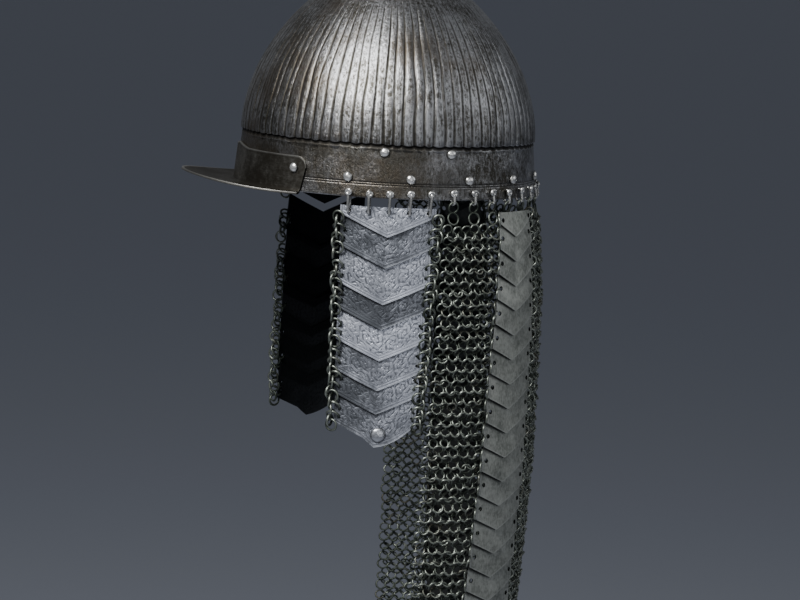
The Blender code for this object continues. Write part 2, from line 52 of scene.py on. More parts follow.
# Skull
RIM_RADIUS = 115.2 * MM
BAND_TOP_RADIUS = 111.6 * MM
BAND_HEIGHT = 40.3 * MM
FLUTE_LEDGE = 1.4 * MM
CROWN_HEIGHT = 133.0 * MM
BOWL_POWER_UP = 1.9
BOWL_POWER_OUT = 1.5
SKULL_WALL = 1.8 * MM
FLUTE_COUNT = 90
FLUTE_DEPTH = 0.95 * MM
FLUTE_TOP_HEIGHT = 125.0 * MM
FLUTE_FADE = 45.0 * MM
FLUTE_STEPS = (0.0, 0.05, 0.13, 0.29, 0.5, 0.71, 0.87, 0.95)
FLUTE_ROUNDNESS = 0.72
CREASE_UNEVEN = 0.07
CREASE_WANDER = 0.34
LOBE_DROP = 1.3 * MM
BOWL_ROWS = 56
LINING_ROWS = 14
DENT_DEPTH = 0.12 * MM
LIP_PROFILE = (
    # drop below the lobe's foot in mm, share of the lip kept, depth in the band in mm, shadow
    (0.25, 0.93, 0.0, 0.25),
    (0.60, 0.60, 0.0, 0.7),
    (0.75, 0.10, 0.2, 1.0),
    (0.95, 0.00, 0.5, 1.0),
    (2.20, 0.00, 0.45, 0.95),
    (3.20, 0.00, 0.15, 0.7),
    (4.20, 0.00, 0.0, 0.1),
)
BAND_ROW_HEIGHTS = np.append(np.arange(12.6, 35.2, 1.5), (8.4, 7.0, 5.5, 4.0, 2.5, 1.2)) * MM
BAND_EVEN_START = 35.4 * MM
BAND_EVEN_REACH = 20 * MM
BAND_HAMMER_DEPTH = 0.10 * MM
BAND_LINE_HEIGHTS = (11.2 * MM, 9.6 * MM)
BAND_LINE_DEPTH = 0.16 * MM
BAND_LINE_HALF_WIDTH = 0.12 * MM
RIM_PROFILE = (
    # height in mm, distance inside the rim's outer face in mm, and 1 inside the head space
    (0.45, 0.15, 0.0),
    (0.10, 0.45, 0.0),
    (0.0, 0.9, 0.0),
    (0.10, 1.4, 1.0),
    (0.5, 1.8, 1.0),
)

# Peak
FIT_GAP = 0.3 * MM
PEAK_THICKNESS = 1.6 * MM
PEAK_FLANGE_HEIGHT = 26.2 * MM
PEAK_FLANGE_HALF_ANGLE = 45.4
PEAK_END_SLANT = 1.8
PEAK_CORNER_RADIUS = 8.0 * MM
PEAK_CENTRE_RISE = 3.0 * MM
PEAK_CENTRE_HALF_ANGLE = 12.0
BRIM_DEPTH = 37.0 * MM
BRIM_POWER = 1.4
BRIM_RISE = 7.0 * MM
BRIM_RISE_POWER = 1.8
BRIM_ROOT_RADIUS = 1.6 * MM
PEAK_COLUMNS = 141
PEAK_END_CROWDING = 1.25
FLANGE_SHARES = np.append((1.0, 0.985), np.linspace(0.94, 0.12, 14))
BRIM_ROOT_TURNS = (20, 45, 70)
BRIM_SHARES = np.append(np.linspace(0.04, 0.94, 17), (0.975, 1.0))
PEAK_EDGE_ROUND = 0.4 * MM

# Rivets
DOME_SIDES = 28
DOME_PROFILE = np.array((
    # share of the radius, share of the rise
    (0.0, 1.0), (0.18, 0.985), (0.36, 0.93), (0.54, 0.83), (0.70, 0.69), (0.83, 0.52),
    (0.93, 0.33), (0.99, 0.16), (1.0, 0.04), (0.96, 0.0), (0.0, 0.0),
))
RIVET_RADIUS = 3.7 * MM
RIVET_DOME = 2.6 * MM
LOWER_RIVET_COUNT = 11
LOWER_RIVET_FIRST_BEARING = 64.0
LOWER_RIVET_HEIGHT = 14.5 * MM
UPPER_RIVET_BEARINGS = (77.1, 102.7)
UPPER_RIVET_HEIGHT = 33.5 * MM
PEAK_RIVET_BEARING = 42.3
PEAK_RIVET_HEIGHT = 17.5 * MM

# Cheekpieces
CHEEK_PLATE_COUNT = 8
CHEEK_PITCH = 21.8 * MM
# how far each plate hangs below an even step, as a share of the pitch
CHEEK_HANG = (0.0, 0.04, 0.28, 0.12, 0.19, 0.21, 0.01, 0.0)
CHEEK_OVERLAP = 7.5 * MM
CHEEK_TOP_DROP = 6.5 * MM
CHEEK_FIRST_TIP_DROP = 28.5 * MM
CHEEK_CHEVRON_SLOPE = 0.44
CHEEK_PLATE_THICKNESS = 1.2 * MM
CHEEK_PLATE_GAP = 0.4 * MM
CHEEK_RADIUS = RIM_RADIUS - 0.7 * MM
CHEEK_TOP_HALF_WIDTH = 36.4 * MM
CHEEK_BOTTOM_HALF_WIDTH = 31.2 * MM
CHEEK_LOBE = 5.0 * MM
CHEEK_LOBE_START = -0.28
CHEEK_SIDES = {
    # side: sign of X, bearing of the top plate, bearing of the bottom plate,
    # drop of the rest below plate 1, pitch as a share of CHEEK_PITCH
    "left": (1, 79.9, 78.6, 0.0, 1.0),
    "right": (-1, 77.5, 73.0, 12.0 * MM, 1.04),
}
# how light each plate is at its middle line, partly from rubbing and partly painted light standing in
# for each plate's own lean, and how much more so at its back edge
CHEEK_TONES = (0.66, 0.30, 0.64, 0.14, 0.95, 0.52, 0.36, 0.42)
CHEEK_TONE_SLOPES = (0.15, 0.25, 0.25, 0.20, 0.15, 0.30, 0.55, 0.25)
CHEEK_COLUMNS = 65
CHEEK_ROWS = 28
CHEEK_TOP_BELOW_HOLES = 2.8 * MM
CHEEK_SAG = 0.25 * MM
CHEEK_EDGE_ROUND = 0.22 * MM
# painted shadow below the plate above: its fade, and its reach in mm at places from the front edge,
# -1, to the back edge, 1
SHADOW_FADE = 2.0 * MM
SHADOW_REACHES = ((-1, -0.1, 0.1, 1), (3.4, 2.4, 1.0, 0.8))
# how far along the pattern, in mm, each plate's engraving lies from the last one's
PATTERN_STEP = 90.0
EDGE_HOLE_RADIUS = 1.15 * MM
EDGE_HOLE_INSET = 3.6 * MM
EDGE_HOLE_RISES = (6.5 * MM, 13.5 * MM)
EDGE_HOLE_TOP_MARGIN = 4.0 * MM
BOSS_RADIUS = 5.5 * MM
BOSS_DOME = 1.8 * MM
BOSS_ACROSS = 3.0 * MM
BOSS_RISE = 6.2 * MM
BOSS_REEDS = 5

# Links at the rim
LINK_COUNT = 5
LINK_SPACING = 15.1 * MM
LINK_WIRE_RADIUS = 1.0 * MM
LINK_HOLE_HEIGHT = 4.5 * MM
LINK_PLATE_HOLE_DROP = 4.0 * MM
LINK_PLATE_HOLE_RADIUS = 1.9 * MM
LINK_PLATE_HOLE_LIFT = 0.6 * MM
LINK_TOP_SINK = 0.7 * MM
LINK_HALF_DEPTH = 3.4 * MM
KNOB_STAND_OFF = 2.0 * MM
KNOB_UNEVEN = 0.3 * MM
KNOB_HEIGHT_SHARE = 0.86
KNOB_RADIUS = 1.85 * MM
KNOB_WIRE_RADIUS = 1.25 * MM
MAIL_LINK_COUNT = 18
MAIL_LINK_BEARINGS = (103.8, 253.5)
MAIL_LINK_HEIGHT = 5.6 * MM
MAIL_LINK_FOOT = -1.6 * MM
MAIL_LINK_HALF_DEPTH = 2.6 * MM

# Mail
RING_RADIUS = 3.65 * MM
RING_WIRE_RADIUS = 0.71 * MM
RING_LEAN = 30.0
RING_SCATTER = 0.18 * MM
RING_LAP_SWELL = 0.28
RING_ROW_PITCH = 4.05 * MM
RING_SPACING = 8.0 * MM
FIRST_ROW_DROP = 21.5 * MM
RING_SINK = -0.9 * MM
HANGERS = (
    # seed, drop in mm, distance outside the rim in mm, radius in mm, lean, stretch
    (51, 5.0, 0.6, 3.75, 12.0, 1.08),
    (52, 13.3, 1.6, 4.45, -14.0, 1.0),
)
HANGER_FREE_SWING = 12.5
CHAIN_RING_RADIUS = 4.35 * MM
CHAIN_WIRE_RADIUS = 0.84 * MM
CHAIN_SPACING = 7.0 * MM
CHAIN_FREE_DROP = 2.2 * MM
# distance past the plates' edge in mm, lean, yaw
CHAIN_AT_HOLE = (0.5, 40.0, 8.0)
CHAIN_FREE = (0.9, 8.0, 8.0)
CHAIN_JOINING = (2.6, 0.0, 74.0)
CHAIN_SINK = 0.6 * MM
CHAIN_UNEVEN = 0.4 * MM

# Neck curtain
CURTAIN_LENGTH = 376.8 * MM
CURTAIN_TOP_EDGE_BEARING = 100.5
CURTAIN_EDGE_BEARING = 92.0
CURTAIN_RIGHT_EDGE_BEARING = 107.0
CURTAIN_SQUARENESS = 0.60
# the curtain's radius as a share of the rim's, at shares of its length
CURTAIN_DROPS = (0.00, 0.09, 0.20, 0.54, 0.72, 1.00)
CURTAIN_RADII = (1.012, 1.045, 1.070, 1.062, 1.030, 0.970)
CURTAIN_SAMPLES = 60
COLUMN_BEARING = 134.0
COLUMN_FOOT_BEARINGS = {"left": 125.0, "right": 136.0}
COLUMN_TOP_HALF_WIDTH = 21.5 * MM
COLUMN_HALF_WIDTH = 25.5 * MM
COLUMN_WIDENING = 0.32
COLUMN_TIP_SHIFT = 0.13
COLUMN_PLATE_COUNT = 20
COLUMN_TOP_DROP = 9.0 * MM
COLUMN_CHEVRON_SLOPE = 0.46
COLUMN_THICKNESS = 1.1 * MM
COLUMN_STEP = 1.6 * MM
COLUMN_PROUD = 0.8 * MM
COLUMN_SIDE_GAP = 0.6 * MM
COLUMN_ROWS = 20
COLUMN_COLUMNS = 41
COLUMN_TUCK = 3.6 * MM
COLUMN_BULGE = 0.2 * MM
COLUMN_EDGE_ROUND = 0.2 * MM
# the same painted shadow, from a column's back edge, -1, to its front edge, 1
COLUMN_SHADOW_FADE = 1.3 * MM
COLUMN_SHADOW_REACHES = ((-1, 0.1, 0.3, 1), (0.1, 0.5, 1.8, 3.2))
COLUMN_HOLE_RADIUS = 1.75 * MM
COLUMN_RING_RADIUS = 3.6 * MM
COLUMN_RING_SINK = 0.7 * MM
COLUMN_RING_YAW = 38.0

# Stage
CAMERA_PLACE = Vector((1.9563, -0.4158, 0.1910))
CAMERA_TARGET = Vector((0.0033, 0.0156, -0.0897))
CAMERA_LENS = 117.27
CAMERA_SENSOR = 36.0
CAMERA_ROLL = math.radians(3.07)
FLOOR_HEIGHT = -1.2
FLOOR_REACH = 250.0
FLOOR_COLOUR = (0.46, 0.48, 0.54, 1.0)
SKY_COLOUR = (0.30, 0.32, 0.36, 1.0)
SKY_STRENGTH = 0.34
LIGHTS = (
    # name, bearing, elevation, distance, width, height, watts, tint
    ("key", 47.0, 45.0, 1.8, 0.60, 0.85, 56.0, (0.97, 0.985, 1.0)),
    ("side_fill", 95.0, 10.0, 2.6, 1.6, 1.0, 6.0, (0.93, 0.96, 1.0)),
    ("back_fill", 160.0, 28.0, 2.4, 1.6, 1.4, 9.0, (0.93, 0.96, 1.0)),
)


# Arithmetic on material sockets

def arithmetic(operation, reflected=False):
    """A method that adds a Math node for two values, the other one first if reflected."""

    def method(wire, other):
        return wire.finish.maths(operation, *((other, wire) if reflected else (wire, other)))

    return method


class Wire:
    """An output socket of a material; arithmetic on it adds Math nodes."""

    def __init__(self, finish, socket):
        self.finish = finish
        self.socket = socket

    __add__ = arithmetic("ADD")
    __radd__ = arithmetic("ADD", reflected=True)
    __sub__ = arithmetic("SUBTRACT")
    __rsub__ = arithmetic("SUBTRACT", reflected=True)
    __mul__ = arithmetic("MULTIPLY")
    __rmul__ = arithmetic("MULTIPLY", reflected=True)
    __truediv__ = arithmetic("DIVIDE")


class Finish:
    """A metal finish: one Principled shader and the nodes that vary it over the surface."""

    def __init__(self, name, metallic):
        self.material = bpy.data.materials.new(name)
        self.material.use_nodes = True
        self.tree = self.material.node_tree
        self.shader = self.tree.nodes["Principled BSDF"]
        self.shader.inputs["Metallic"].default_value = metallic
        self.place = self.node("ShaderNodeTexCoord", {}, {}, output=3)

    def node(self, kind, settings, values, output=0):
        """A node of any type: its settings first, then the values or wires of its sockets."""
        made = self.tree.nodes.new(kind)
        for key, value in settings.items():
            setattr(made, key, value)
        for key, value in values.items():
            if isinstance(value, Wire):
                self.tree.links.new(value.socket, made.inputs[key])
            else:
                made.inputs[key].default_value = value
        return Wire(self, made.outputs[output])

    def maths(self, operation, first, second=0.0, clamp=False):
        return self.node("ShaderNodeMath", {"operation": operation, "use_clamp": clamp},
                         {0: first, 1: second})

    def vector_maths(self, operation, first, second):
        return self.node("ShaderNodeVectorMath", {"operation": operation}, {0: first, 1: second})

    def limited(self, value):
        return self.maths("ADD", value, 0.0, clamp=True)

    def step(self, value, low, high):
        """0 below low, 1 above high, and a smooth rise between."""
        return self.node("ShaderNodeMapRange", {"interpolation_type": "SMOOTHSTEP"},
                         {0: value, 1: low, 2: high})

    def mixed(self, share, *colours):
        """A blend of two colours, each of them a wire or three numbers."""
        first, second = (value if isinstance(value, Wire) else (*value, 1.0) for value in colours)
        return self.node("ShaderNodeMix", {"data_type": "RGBA"},
                         {0: share, 6: first, 7: second}, output=2)

    def noise(self, size, detail=3.0, roughness=0.55, shares=None, vector=None):
        """Noise on Object coordinates, or another vector, whose largest lumps are about a size
        across. It is drawn out along an axis whose share is below 1.
        """
        vector = vector or self.place
        if shares:
            vector = self.vector_maths("MULTIPLY", vector, shares)
        return self.node("ShaderNodeTexNoise", {}, {"Vector": vector, "Scale": 1.0 / size,
                                                    "Detail": detail, "Roughness": roughness})

    def parts(self, vector):
        """The three numbers of a vector."""
        return [self.node("ShaderNodeSeparateXYZ", {}, {0: vector}, output=part)
                for part in range(3)]

    def attribute(self, name):
        """The three numbers of a vector kept on the surface's points."""
        return self.parts(self.node("ShaderNodeAttribute", {"attribute_name": name}, {}, output=1))

    def feed(self, colour, roughness, *bumps):
        """Close the finish. A bump is its height, its depth in metres and its strength."""
        normal = None
        for height, distance, strength in bumps:
            values = {"Height": height, "Distance": distance, "Strength": strength}
            if normal:
                values["Normal"] = normal
            normal = self.node("ShaderNodeBump", {}, values)
        for name, wire in (("Base Color", colour), ("Roughness", roughness), ("Normal", normal)):
            self.tree.links.new(wire.socket, self.shader.inputs[name])
        return self


# Surfaces

def around(radius, bearing, z):
    """Points at a radius and a bearing: X is the bearing's sine, and -Y its cosine."""
    radius, turn, z = np.broadcast_arrays(radius, np.radians(bearing), z)
    return np.stack([radius * np.sin(turn), -radius * np.cos(turn), z], axis=-1)


def unit(vectors):
    return vectors / np.linalg.norm(vectors, axis=-1, keepdims=True)


def new_mesh(name, points, faces, **attributes):
    """A smooth mesh of quads; each attribute is a vector at each point, kept on the faces'
    corners so that cutting a hole keeps it.
    """
    mesh = bpy.data.meshes.new(name)
    points = points.reshape(-1, 3)
    mesh.vertices.add(len(points))
    mesh.vertices.foreach_set("co", points.astype(np.float32).ravel())
    mesh.loops.add(faces.size)
    mesh.loops.foreach_set("vertex_index", faces.astype(np.int32).ravel())
    mesh.polygons.add(len(faces))
    mesh.polygons.foreach_set("loop_start", np.arange(0, faces.size, 4, dtype=np.int32))
    mesh.polygons.foreach_set("use_smooth", np.ones(len(faces), dtype=bool))
    for key, values in attributes.items():
        layer = mesh.attributes.new(key, "FLOAT_COLOR", "CORNER")
        corners = np.ones((faces.size, 4), dtype=np.float32)
        corners[:, :3] = values.reshape(-1, 3)[faces.ravel()]
        layer.data.foreach_set("color", corners.ravel())
    mesh.update(calc_edges=True)
    mesh.validate()
    return mesh


def merge_doubles(mesh):
    """Points that meet, such as a pole's, become one."""
    shell = bmesh.new()
    shell.from_mesh(mesh)
    bmesh.ops.remove_doubles(shell, verts=shell.verts, dist=MERGE_DISTANCE)
    bmesh.ops.dissolve_degenerate(shell, edges=shell.edges, dist=MERGE_DISTANCE / 4)
    shell.to_mesh(mesh)
    shell.free()


def add_piece(name, mesh, finish, slot, *replaced, edge_round=None):
    """A piece of the helmet, with its finish, the CAD parts it replaces hidden and, if asked, rounded
    edges.
    """
    made = bpy.data.objects.new(name, mesh)
    bpy.context.scene.collection.objects.link(made)
    mesh.materials.append(finish.material)
    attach(made, BODY)
    if replaced:
        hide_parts(*replaced)
    if edge_round:
        bevel = made.modifiers.new("edges", "BEVEL")
        bevel.width = edge_round
        bevel.segments = 2
        bevel.limit_method = "ANGLE"
        bevel.angle_limit = SHARP_ANGLE


def grid_faces(rows, columns, wrap=False):
    """Quads of a grid, facing out."""
    index = np.arange(rows * columns).reshape(rows, columns)
    if wrap:
        index = np.concatenate([index, index[:, :1]], axis=1)
    corners = (index[:-1, :-1], index[1:, :-1], index[1:, 1:], index[:-1, 1:])
    return np.stack(corners, axis=-1).reshape(-1, 4)


def wall_faces(rows, columns):
    """Quads of a closed wall between an outer grid and an inner one that follows it."""
    outer = np.arange(rows * columns).reshape(rows, columns)
    inner = outer + rows * columns
    skin = grid_faces(rows, columns)
    faces = [skin, skin[:, ::-1] + rows * columns]
    edges = (
        (outer[0], inner[0]),
        (outer[:, -1], inner[:, -1]),
        (outer[-1, ::-1], inner[-1, ::-1]),
        (outer[::-1, 0], inner[::-1, 0]),
    )
    for near, far in edges:
        faces.append(np.stack([near[:-1], near[1:], far[1:], far[:-1]], axis=-1))
    return np.concatenate(faces)


def grid_normals(points):
    """Unit normals of a grid of points, from the steps between neighbours."""
    across = np.gradient(points, axis=1)
    down = np.gradient(points, axis=0)
    return unit(np.cross(down, across))


def wall(name, points, thickness, **attributes):
    """A closed wall behind a grid of outer points; its inner face is marked in marks' z, which the
    finishes paint dark as shade.
    """
    inner = points - grid_normals(points) * thickness
    doubled = {key: np.stack([values, values]) for key, values in attributes.items()}
    doubled["marks"][1, ..., 2] = 1.0
    return new_mesh(name, np.stack([points, inner]), wall_faces(*points.shape[:2]), **doubled)


def pierce(mesh, centres, radius, depth=8 * MM, sides=14):
    """Round holes through a mesh: level rods at the centres, pointing away from the axis, are
    cut out of it.
    """
    directions = unit(centres * (1, 1, 0))
    across = unit(np.cross(directions, (0.0, 0.0, 1.0)))
    up = np.cross(across, directions)
    turn = 2 * np.pi * np.arange(sides) / sides
    circle = (np.cos(turn)[:, None] * across[:, None] + np.sin(turn)[:, None] * up[:, None]) * radius
    ends = np.stack([-directions, directions]) * depth / 2
    points = centres[None, :, None] + ends[:, :, None] + circle[None]
    tool_mesh = bpy.data.meshes.new("rods")
    index = np.arange(points.size // 3).reshape(2, len(centres), sides)
    faces = []
    for low, high in zip(index[0], index[1]):
        side = np.stack([low, high, np.roll(high, -1), np.roll(low, -1)], axis=-1)
        faces += [np.roll(low, 1).tolist(), np.roll(high[::-1], 1).tolist(), *side.tolist()]
    tool_mesh.from_pydata(points.reshape(-1, 3).tolist(), [], faces)
    tool = bpy.data.objects.new("rods", tool_mesh)
    work = bpy.data.objects.new("work", mesh)
    for item in (tool, work):
        bpy.context.scene.collection.objects.link(item)
    cut = work.modifiers.new("holes", "BOOLEAN")
    cut.operation = "DIFFERENCE"
    cut.object = tool
    bpy.context.view_layer.update()
    cut_work = work.evaluated_get(bpy.context.evaluated_depsgraph_get())
    pierced = bpy.data.meshes.new_from_object(cut_work)
    pierced.name = mesh.name
    bpy.data.objects.remove(tool)
    bpy.data.objects.remove(work)
    return pierced


# Wire and rings

def tubes(paths, side, wire, sides):
    """Closed tubes along flat loops: a circle of wire carried round each path.

    paths is loops x steps x 3, side the unit normal of each loop's plane, and wire the
    radius at each step.
    """
    ahead = unit(np.roll(paths, -1, axis=1) - np.roll(paths, 1, axis=1))
    outward = np.cross(ahead, side[:, None])[:, :, None]
    turn = (2 * np.pi * np.arange(sides) / sides)[None, None, :, None]
    section = np.cos(turn) * outward + np.sin(turn) * side[:, None, None]
    points = paths[:, :, None] + section * np.broadcast_to(wire, paths.shape[:2])[..., None, None]
    index = np.arange(points.size // 3).reshape(points.shape[:3])
    onward = np.roll(index, -1, axis=1)
    corners = (index, onward, np.roll(onward, -1, axis=2), np.roll(index, -1, axis=2))
    return points, np.stack(corners, axis=-1).reshape(-1, 4)


def ring_points(centres, frames, radius, wire, seed, lean=0.0, yaw=0.0, stretch=1.0,
                steps=12, sides=5, loose=1.0):
    """Rings of wire: circles in the plane of across and up, turned by a yaw about up and
    then leaned about across, each a little off its place. Every ring has a fat lap.

    Marks hold how far out a point lies, the ring's own tone, and how dirty it is.
    """
    across, up, out = frames
    chance = np.random.default_rng(seed)
    count = len(centres)
    lean = np.radians(lean + chance.normal(0, 3.0 * loose, count))[:, None]
    yaw = np.radians(yaw + chance.normal(0, 3.5 * loose, count))[:, None]
    level = across * np.cos(yaw) + out * np.sin(yaw)
    facing = np.cross(level, up)
    tilted = up * np.cos(lean) + facing * np.sin(lean)
    size = radius * (1 + chance.normal(0, 0.02 * loose, count))[:, None, None]
    moved = centres + chance.normal(0, RING_SCATTER * loose, (count, 3))
    turn = (2 * np.pi * np.arange(steps) / steps)[None, :, None]
    circle = np.cos(turn) * level[:, None] + np.sin(turn) * tilted[:, None] * stretch
    paths = moved[:, None] + circle * size
    lap = chance.integers(0, steps, count)[:, None]
    away = np.abs((np.arange(steps)[None] - lap + steps // 2) % steps - steps // 2)
    thick = wire * (1 + RING_LAP_SWELL * np.exp(-(away / 0.9) ** 2))
    points, faces = tubes(paths, np.cross(level, tilted), thick, sides)
    depth = np.einsum("rspx,rx->rsp", points - moved[:, None, None], out)
    worn = np.clip(0.5 + depth / (2.2 * wire + radius * np.abs(np.sin(lean[..., None])) * 2), 0, 1)
    tone = np.broadcast_to(chance.random(count)[:, None, None], worn.shape)
    grime_and_shadow = np.broadcast_to(chance.random(count)[:, None, None], worn.shape)
    return points.reshape(-1, 3), faces, np.stack([worn, tone, grime_and_shadow], axis=-1).reshape(-1, 3)


def add_rings(name, finish, slot, nodes, *batches):
    """One piece from several batches of rings."""
    points, faces, marks = zip(*batches)
    starts = np.cumsum([0] + [len(part) for part in points[:-1]])
    faces = np.concatenate([part + start for part, start in zip(faces, starts)])
    mesh = new_mesh(name, np.concatenate(points), faces, marks=np.concatenate(marks))
    add_piece(name, mesh, finish, slot, *nodes)


def radial_frames(bearing):
    """Unit vectors across, up and out at each bearing."""
    turn = np.radians(np.atleast_1d(bearing).astype(float))
    zero = np.zeros_like(turn)
    across = np.stack([np.cos(turn), np.sin(turn), zero], axis=-1)
    up = np.stack([zero, zero, zero + 1], axis=-1)
    return across, up, np.cross(across, up)


# Skull

def band_radius(z):
    """Outer radius of the brow band, which flares evenly down to the rim."""
    return RIM_RADIUS + (BAND_TOP_RADIUS - RIM_RADIUS) * z / BAND_HEIGHT


def bowl_radius(height, base, crown):
    """Radius of the bowl over the flute line: (height/crown)^up + (radius/base)^out = 1."""
    left = 1.0 - np.clip(height / crown, 0, 1) ** BOWL_POWER_UP
    return base * left ** (1.0 / BOWL_POWER_OUT)


def even_heights(base, crown, count):
    """Heights on the bowl's profile at equal steps of its length, from the crown down."""
    fine = crown * (1 - np.linspace(0, 1, 800) ** 2)
    radius = bowl_radius(fine, base, crown)
    length = np.concatenate([[0.0], np.cumsum(np.hypot(np.diff(fine), np.diff(radius)))])
    return np.interp(np.linspace(0, length[-1], count), length, fine)


def flute_creases(heights, chance):
    """Bearing of each groove at each height: evenly set, off by a little, and wandering."""
    count = np.arange(FLUTE_COUNT)
    home = (count + chance.normal(0, CREASE_UNEVEN, FLUTE_COUNT)) * 360.0 / FLUTE_COUNT
    waves = chance.uniform(50, 150, FLUTE_COUNT)
    start = chance.uniform(0, 2 * np.pi, FLUTE_COUNT)
    drift = CREASE_WANDER * np.sin(heights[:, None] * waves + start)
    return home + drift


def flute_columns(heights, chance):
    """Bearings of the bowl's columns, eight to a flute, how far the lobe stands out at each,
    which is sin(pi t) to a power over one flute, and the groove's depth at each height.
    """
    creases = flute_creases(heights, chance)
    after = np.concatenate([creases[:, 1:], creases[:, :1] + 360.0], axis=1)
    share = np.array(FLUTE_STEPS)
    bearing = creases[..., None] + (after - creases)[..., None] * share
    lobe = np.tile(np.sin(np.pi * share) ** FLUTE_ROUNDNESS, FLUTE_COUNT)
    deep = FLUTE_DEPTH * chance.uniform(0.55, 1.15, FLUTE_COUNT)
    swell = chance.uniform(60, 120, FLUTE_COUNT)
    deep = deep * (0.85 + 0.3 * np.sin(heights[:, None] * swell + chance.uniform(0, 6, FLUTE_COUNT)))
    return bearing.reshape(len(heights), -1), lobe, np.repeat(deep, len(share), axis=1)


def bowl_rows(chance):
    """The bowl's bearings, radii, heights and marks, from the crown down to the lobes' feet,
    which hang as the lobes stand out.
    """
    base = BAND_TOP_RADIUS + FLUTE_LEDGE
    heights = even_heights(base, CROWN_HEIGHT, BOWL_ROWS)
    bearing, lobe, depth = flute_columns(heights, chance)
    fade = np.clip((FLUTE_TOP_HEIGHT - heights) / FLUTE_FADE, 0, 1)[:, None]
    hang = np.repeat(chance.uniform(0.5, 1.0, FLUTE_COUNT), len(FLUTE_STEPS))
    foot = BAND_HEIGHT - LOBE_DROP * lobe * hang
    z = foot + (heights / CROWN_HEIGHT)[:, None] * (BAND_HEIGHT + CROWN_HEIGHT - foot)
    dents = np.sin(bearing * 0.21 + z * 90) * np.sin(bearing * 0.13 - z * 60)
    radius = bowl_radius(heights, base, CROWN_HEIGHT)[:, None]
    radius = radius - np.minimum(depth * (1 - lobe) * fade + DENT_DEPTH * (1 + dents) * fade, radius)
    valley = (1 - lobe) * np.ones_like(z) * fade
    # the creases' darkness, the marks' second number, is painted shade
    return bearing, radius, z, np.stack([1 - valley, valley * 0.8, np.zeros_like(z)], axis=-1)


def lip_rings(low, lip, foot):
    """Rings under the lobes' feet: in below the lip to a groove, and out to the band. Each
    ring here and below gives its radius, bearings, height and mark.
    """
    # the profile's last number goes into the marks as painted shadow under the lip
    for drop, kept, sunk, shadow in LIP_PROFILE:
        height = foot - drop * MM
        band = band_radius(height) - sunk * MM
        yield band + (lip - band) * kept, low, height, (0.5, shadow, 0.0)


def band_rings(low, even):
    """Rings down the hammered band, whose bearings slide to even ones, and its two lines."""
    heights = [(height, 0.0) for height in BAND_ROW_HEIGHTS]
    for line in BAND_LINE_HEIGHTS:
        heights += [(line + across * BAND_LINE_HALF_WIDTH, cut)
                    for across, cut in ((3, 0.0), (1, 1.0), (-1, 1.0), (-3, 0.0))]
    for height, cut in sorted(heights, reverse=True):
        slide = np.clip((BAND_EVEN_START - height) / BAND_EVEN_REACH, 0, 1)
        where = low + (even - low) * slide
        lumps = 1 + np.sin(where * 0.35 + height * 200) * np.sin(where * 0.12)
        radius = band_radius(height) - BAND_HAMMER_DEPTH * lumps - cut * BAND_LINE_DEPTH
        # the scored lines' cut is also the marks' second number, which paints them dark as shade
        yield radius, where, height, (0.55, cut, 0.0)


def lining_rings(even):
    """Rings round the rim's edge, and then up the inner side to the crown."""
    # the third number paints the inside dark as shade
    for height, inside, inner_shade in RIM_PROFILE:
        yield RIM_RADIUS - inside * MM, even, height * MM, (0.8, 0.2, inner_shade)
    base = BAND_TOP_RADIUS - SKULL_WALL
    crown = CROWN_HEIGHT - SKULL_WALL
    heights = even_heights(base, crown, LINING_ROWS)[::-1]
    for height, radius in zip(heights, bowl_radius(heights, base, crown)):
        # painted shade on the inner rows, through both the second and the third mark
        yield radius, even, BAND_HEIGHT + height, (0.2, 0.4, 1.0)


def make_skull(finish):
    """One closed shell: fluted bowl, undercut lip, band, rim and inner wall."""
    bearing, radius, z, bowl_marks = bowl_rows(np.random.default_rng(11))
    low = bearing[-1]
    even = np.arange(low.size) * 360.0 / low.size
    rings = [*lip_rings(low, radius[-1], z[-1]), *band_rings(low, even), *lining_rings(even)]
    rows = [around(*ring[:3])[None] for ring in rings]
    marks = [np.broadcast_to(ring[3], row.shape) for ring, row in zip(rings, rows)]
    points = np.concatenate([around(radius, bearing, z), *rows])
    mesh = new_mesh("skull_shell", points, grid_faces(*points.shape[:2], wrap=True),
                    marks=np.concatenate([bowl_marks, *marks]))
    merge_doubles(mesh)
    add_piece("skull_shell", mesh, finish, "dark_steel", "skull")


# Peak

def brim_width(bearing):
    """Width of the brim: a crescent, full at the front and nothing at the flange's ends."""
    share = np.minimum(1.0, np.abs(bearing) / PEAK_FLANGE_HALF_ANGLE)
    return PEAK_THICKNESS + BRIM_DEPTH * np.maximum(0.0, np.cos(share * np.pi / 2)) ** BRIM_POWER


def flange_height(bearing):
    """Height of the flange: level, with rounded ends and a low point over the brow."""
    from_end = np.radians(PEAK_FLANGE_HALF_ANGLE - np.abs(bearing)) * RIM_RADIUS
    reach = np.clip(PEAK_CORNER_RADIUS - from_end, 0, PEAK_CORNER_RADIUS)
    lost = PEAK_CORNER_RADIUS - np.sqrt(PEAK_CORNER_RADIUS ** 2 - reach ** 2)
    rise = PEAK_CENTRE_RISE * np.maximum(0.0, 1.0 - np.abs(bearing) / PEAK_CENTRE_HALF_ANGLE)
    return PEAK_FLANGE_HEIGHT + rise - lost


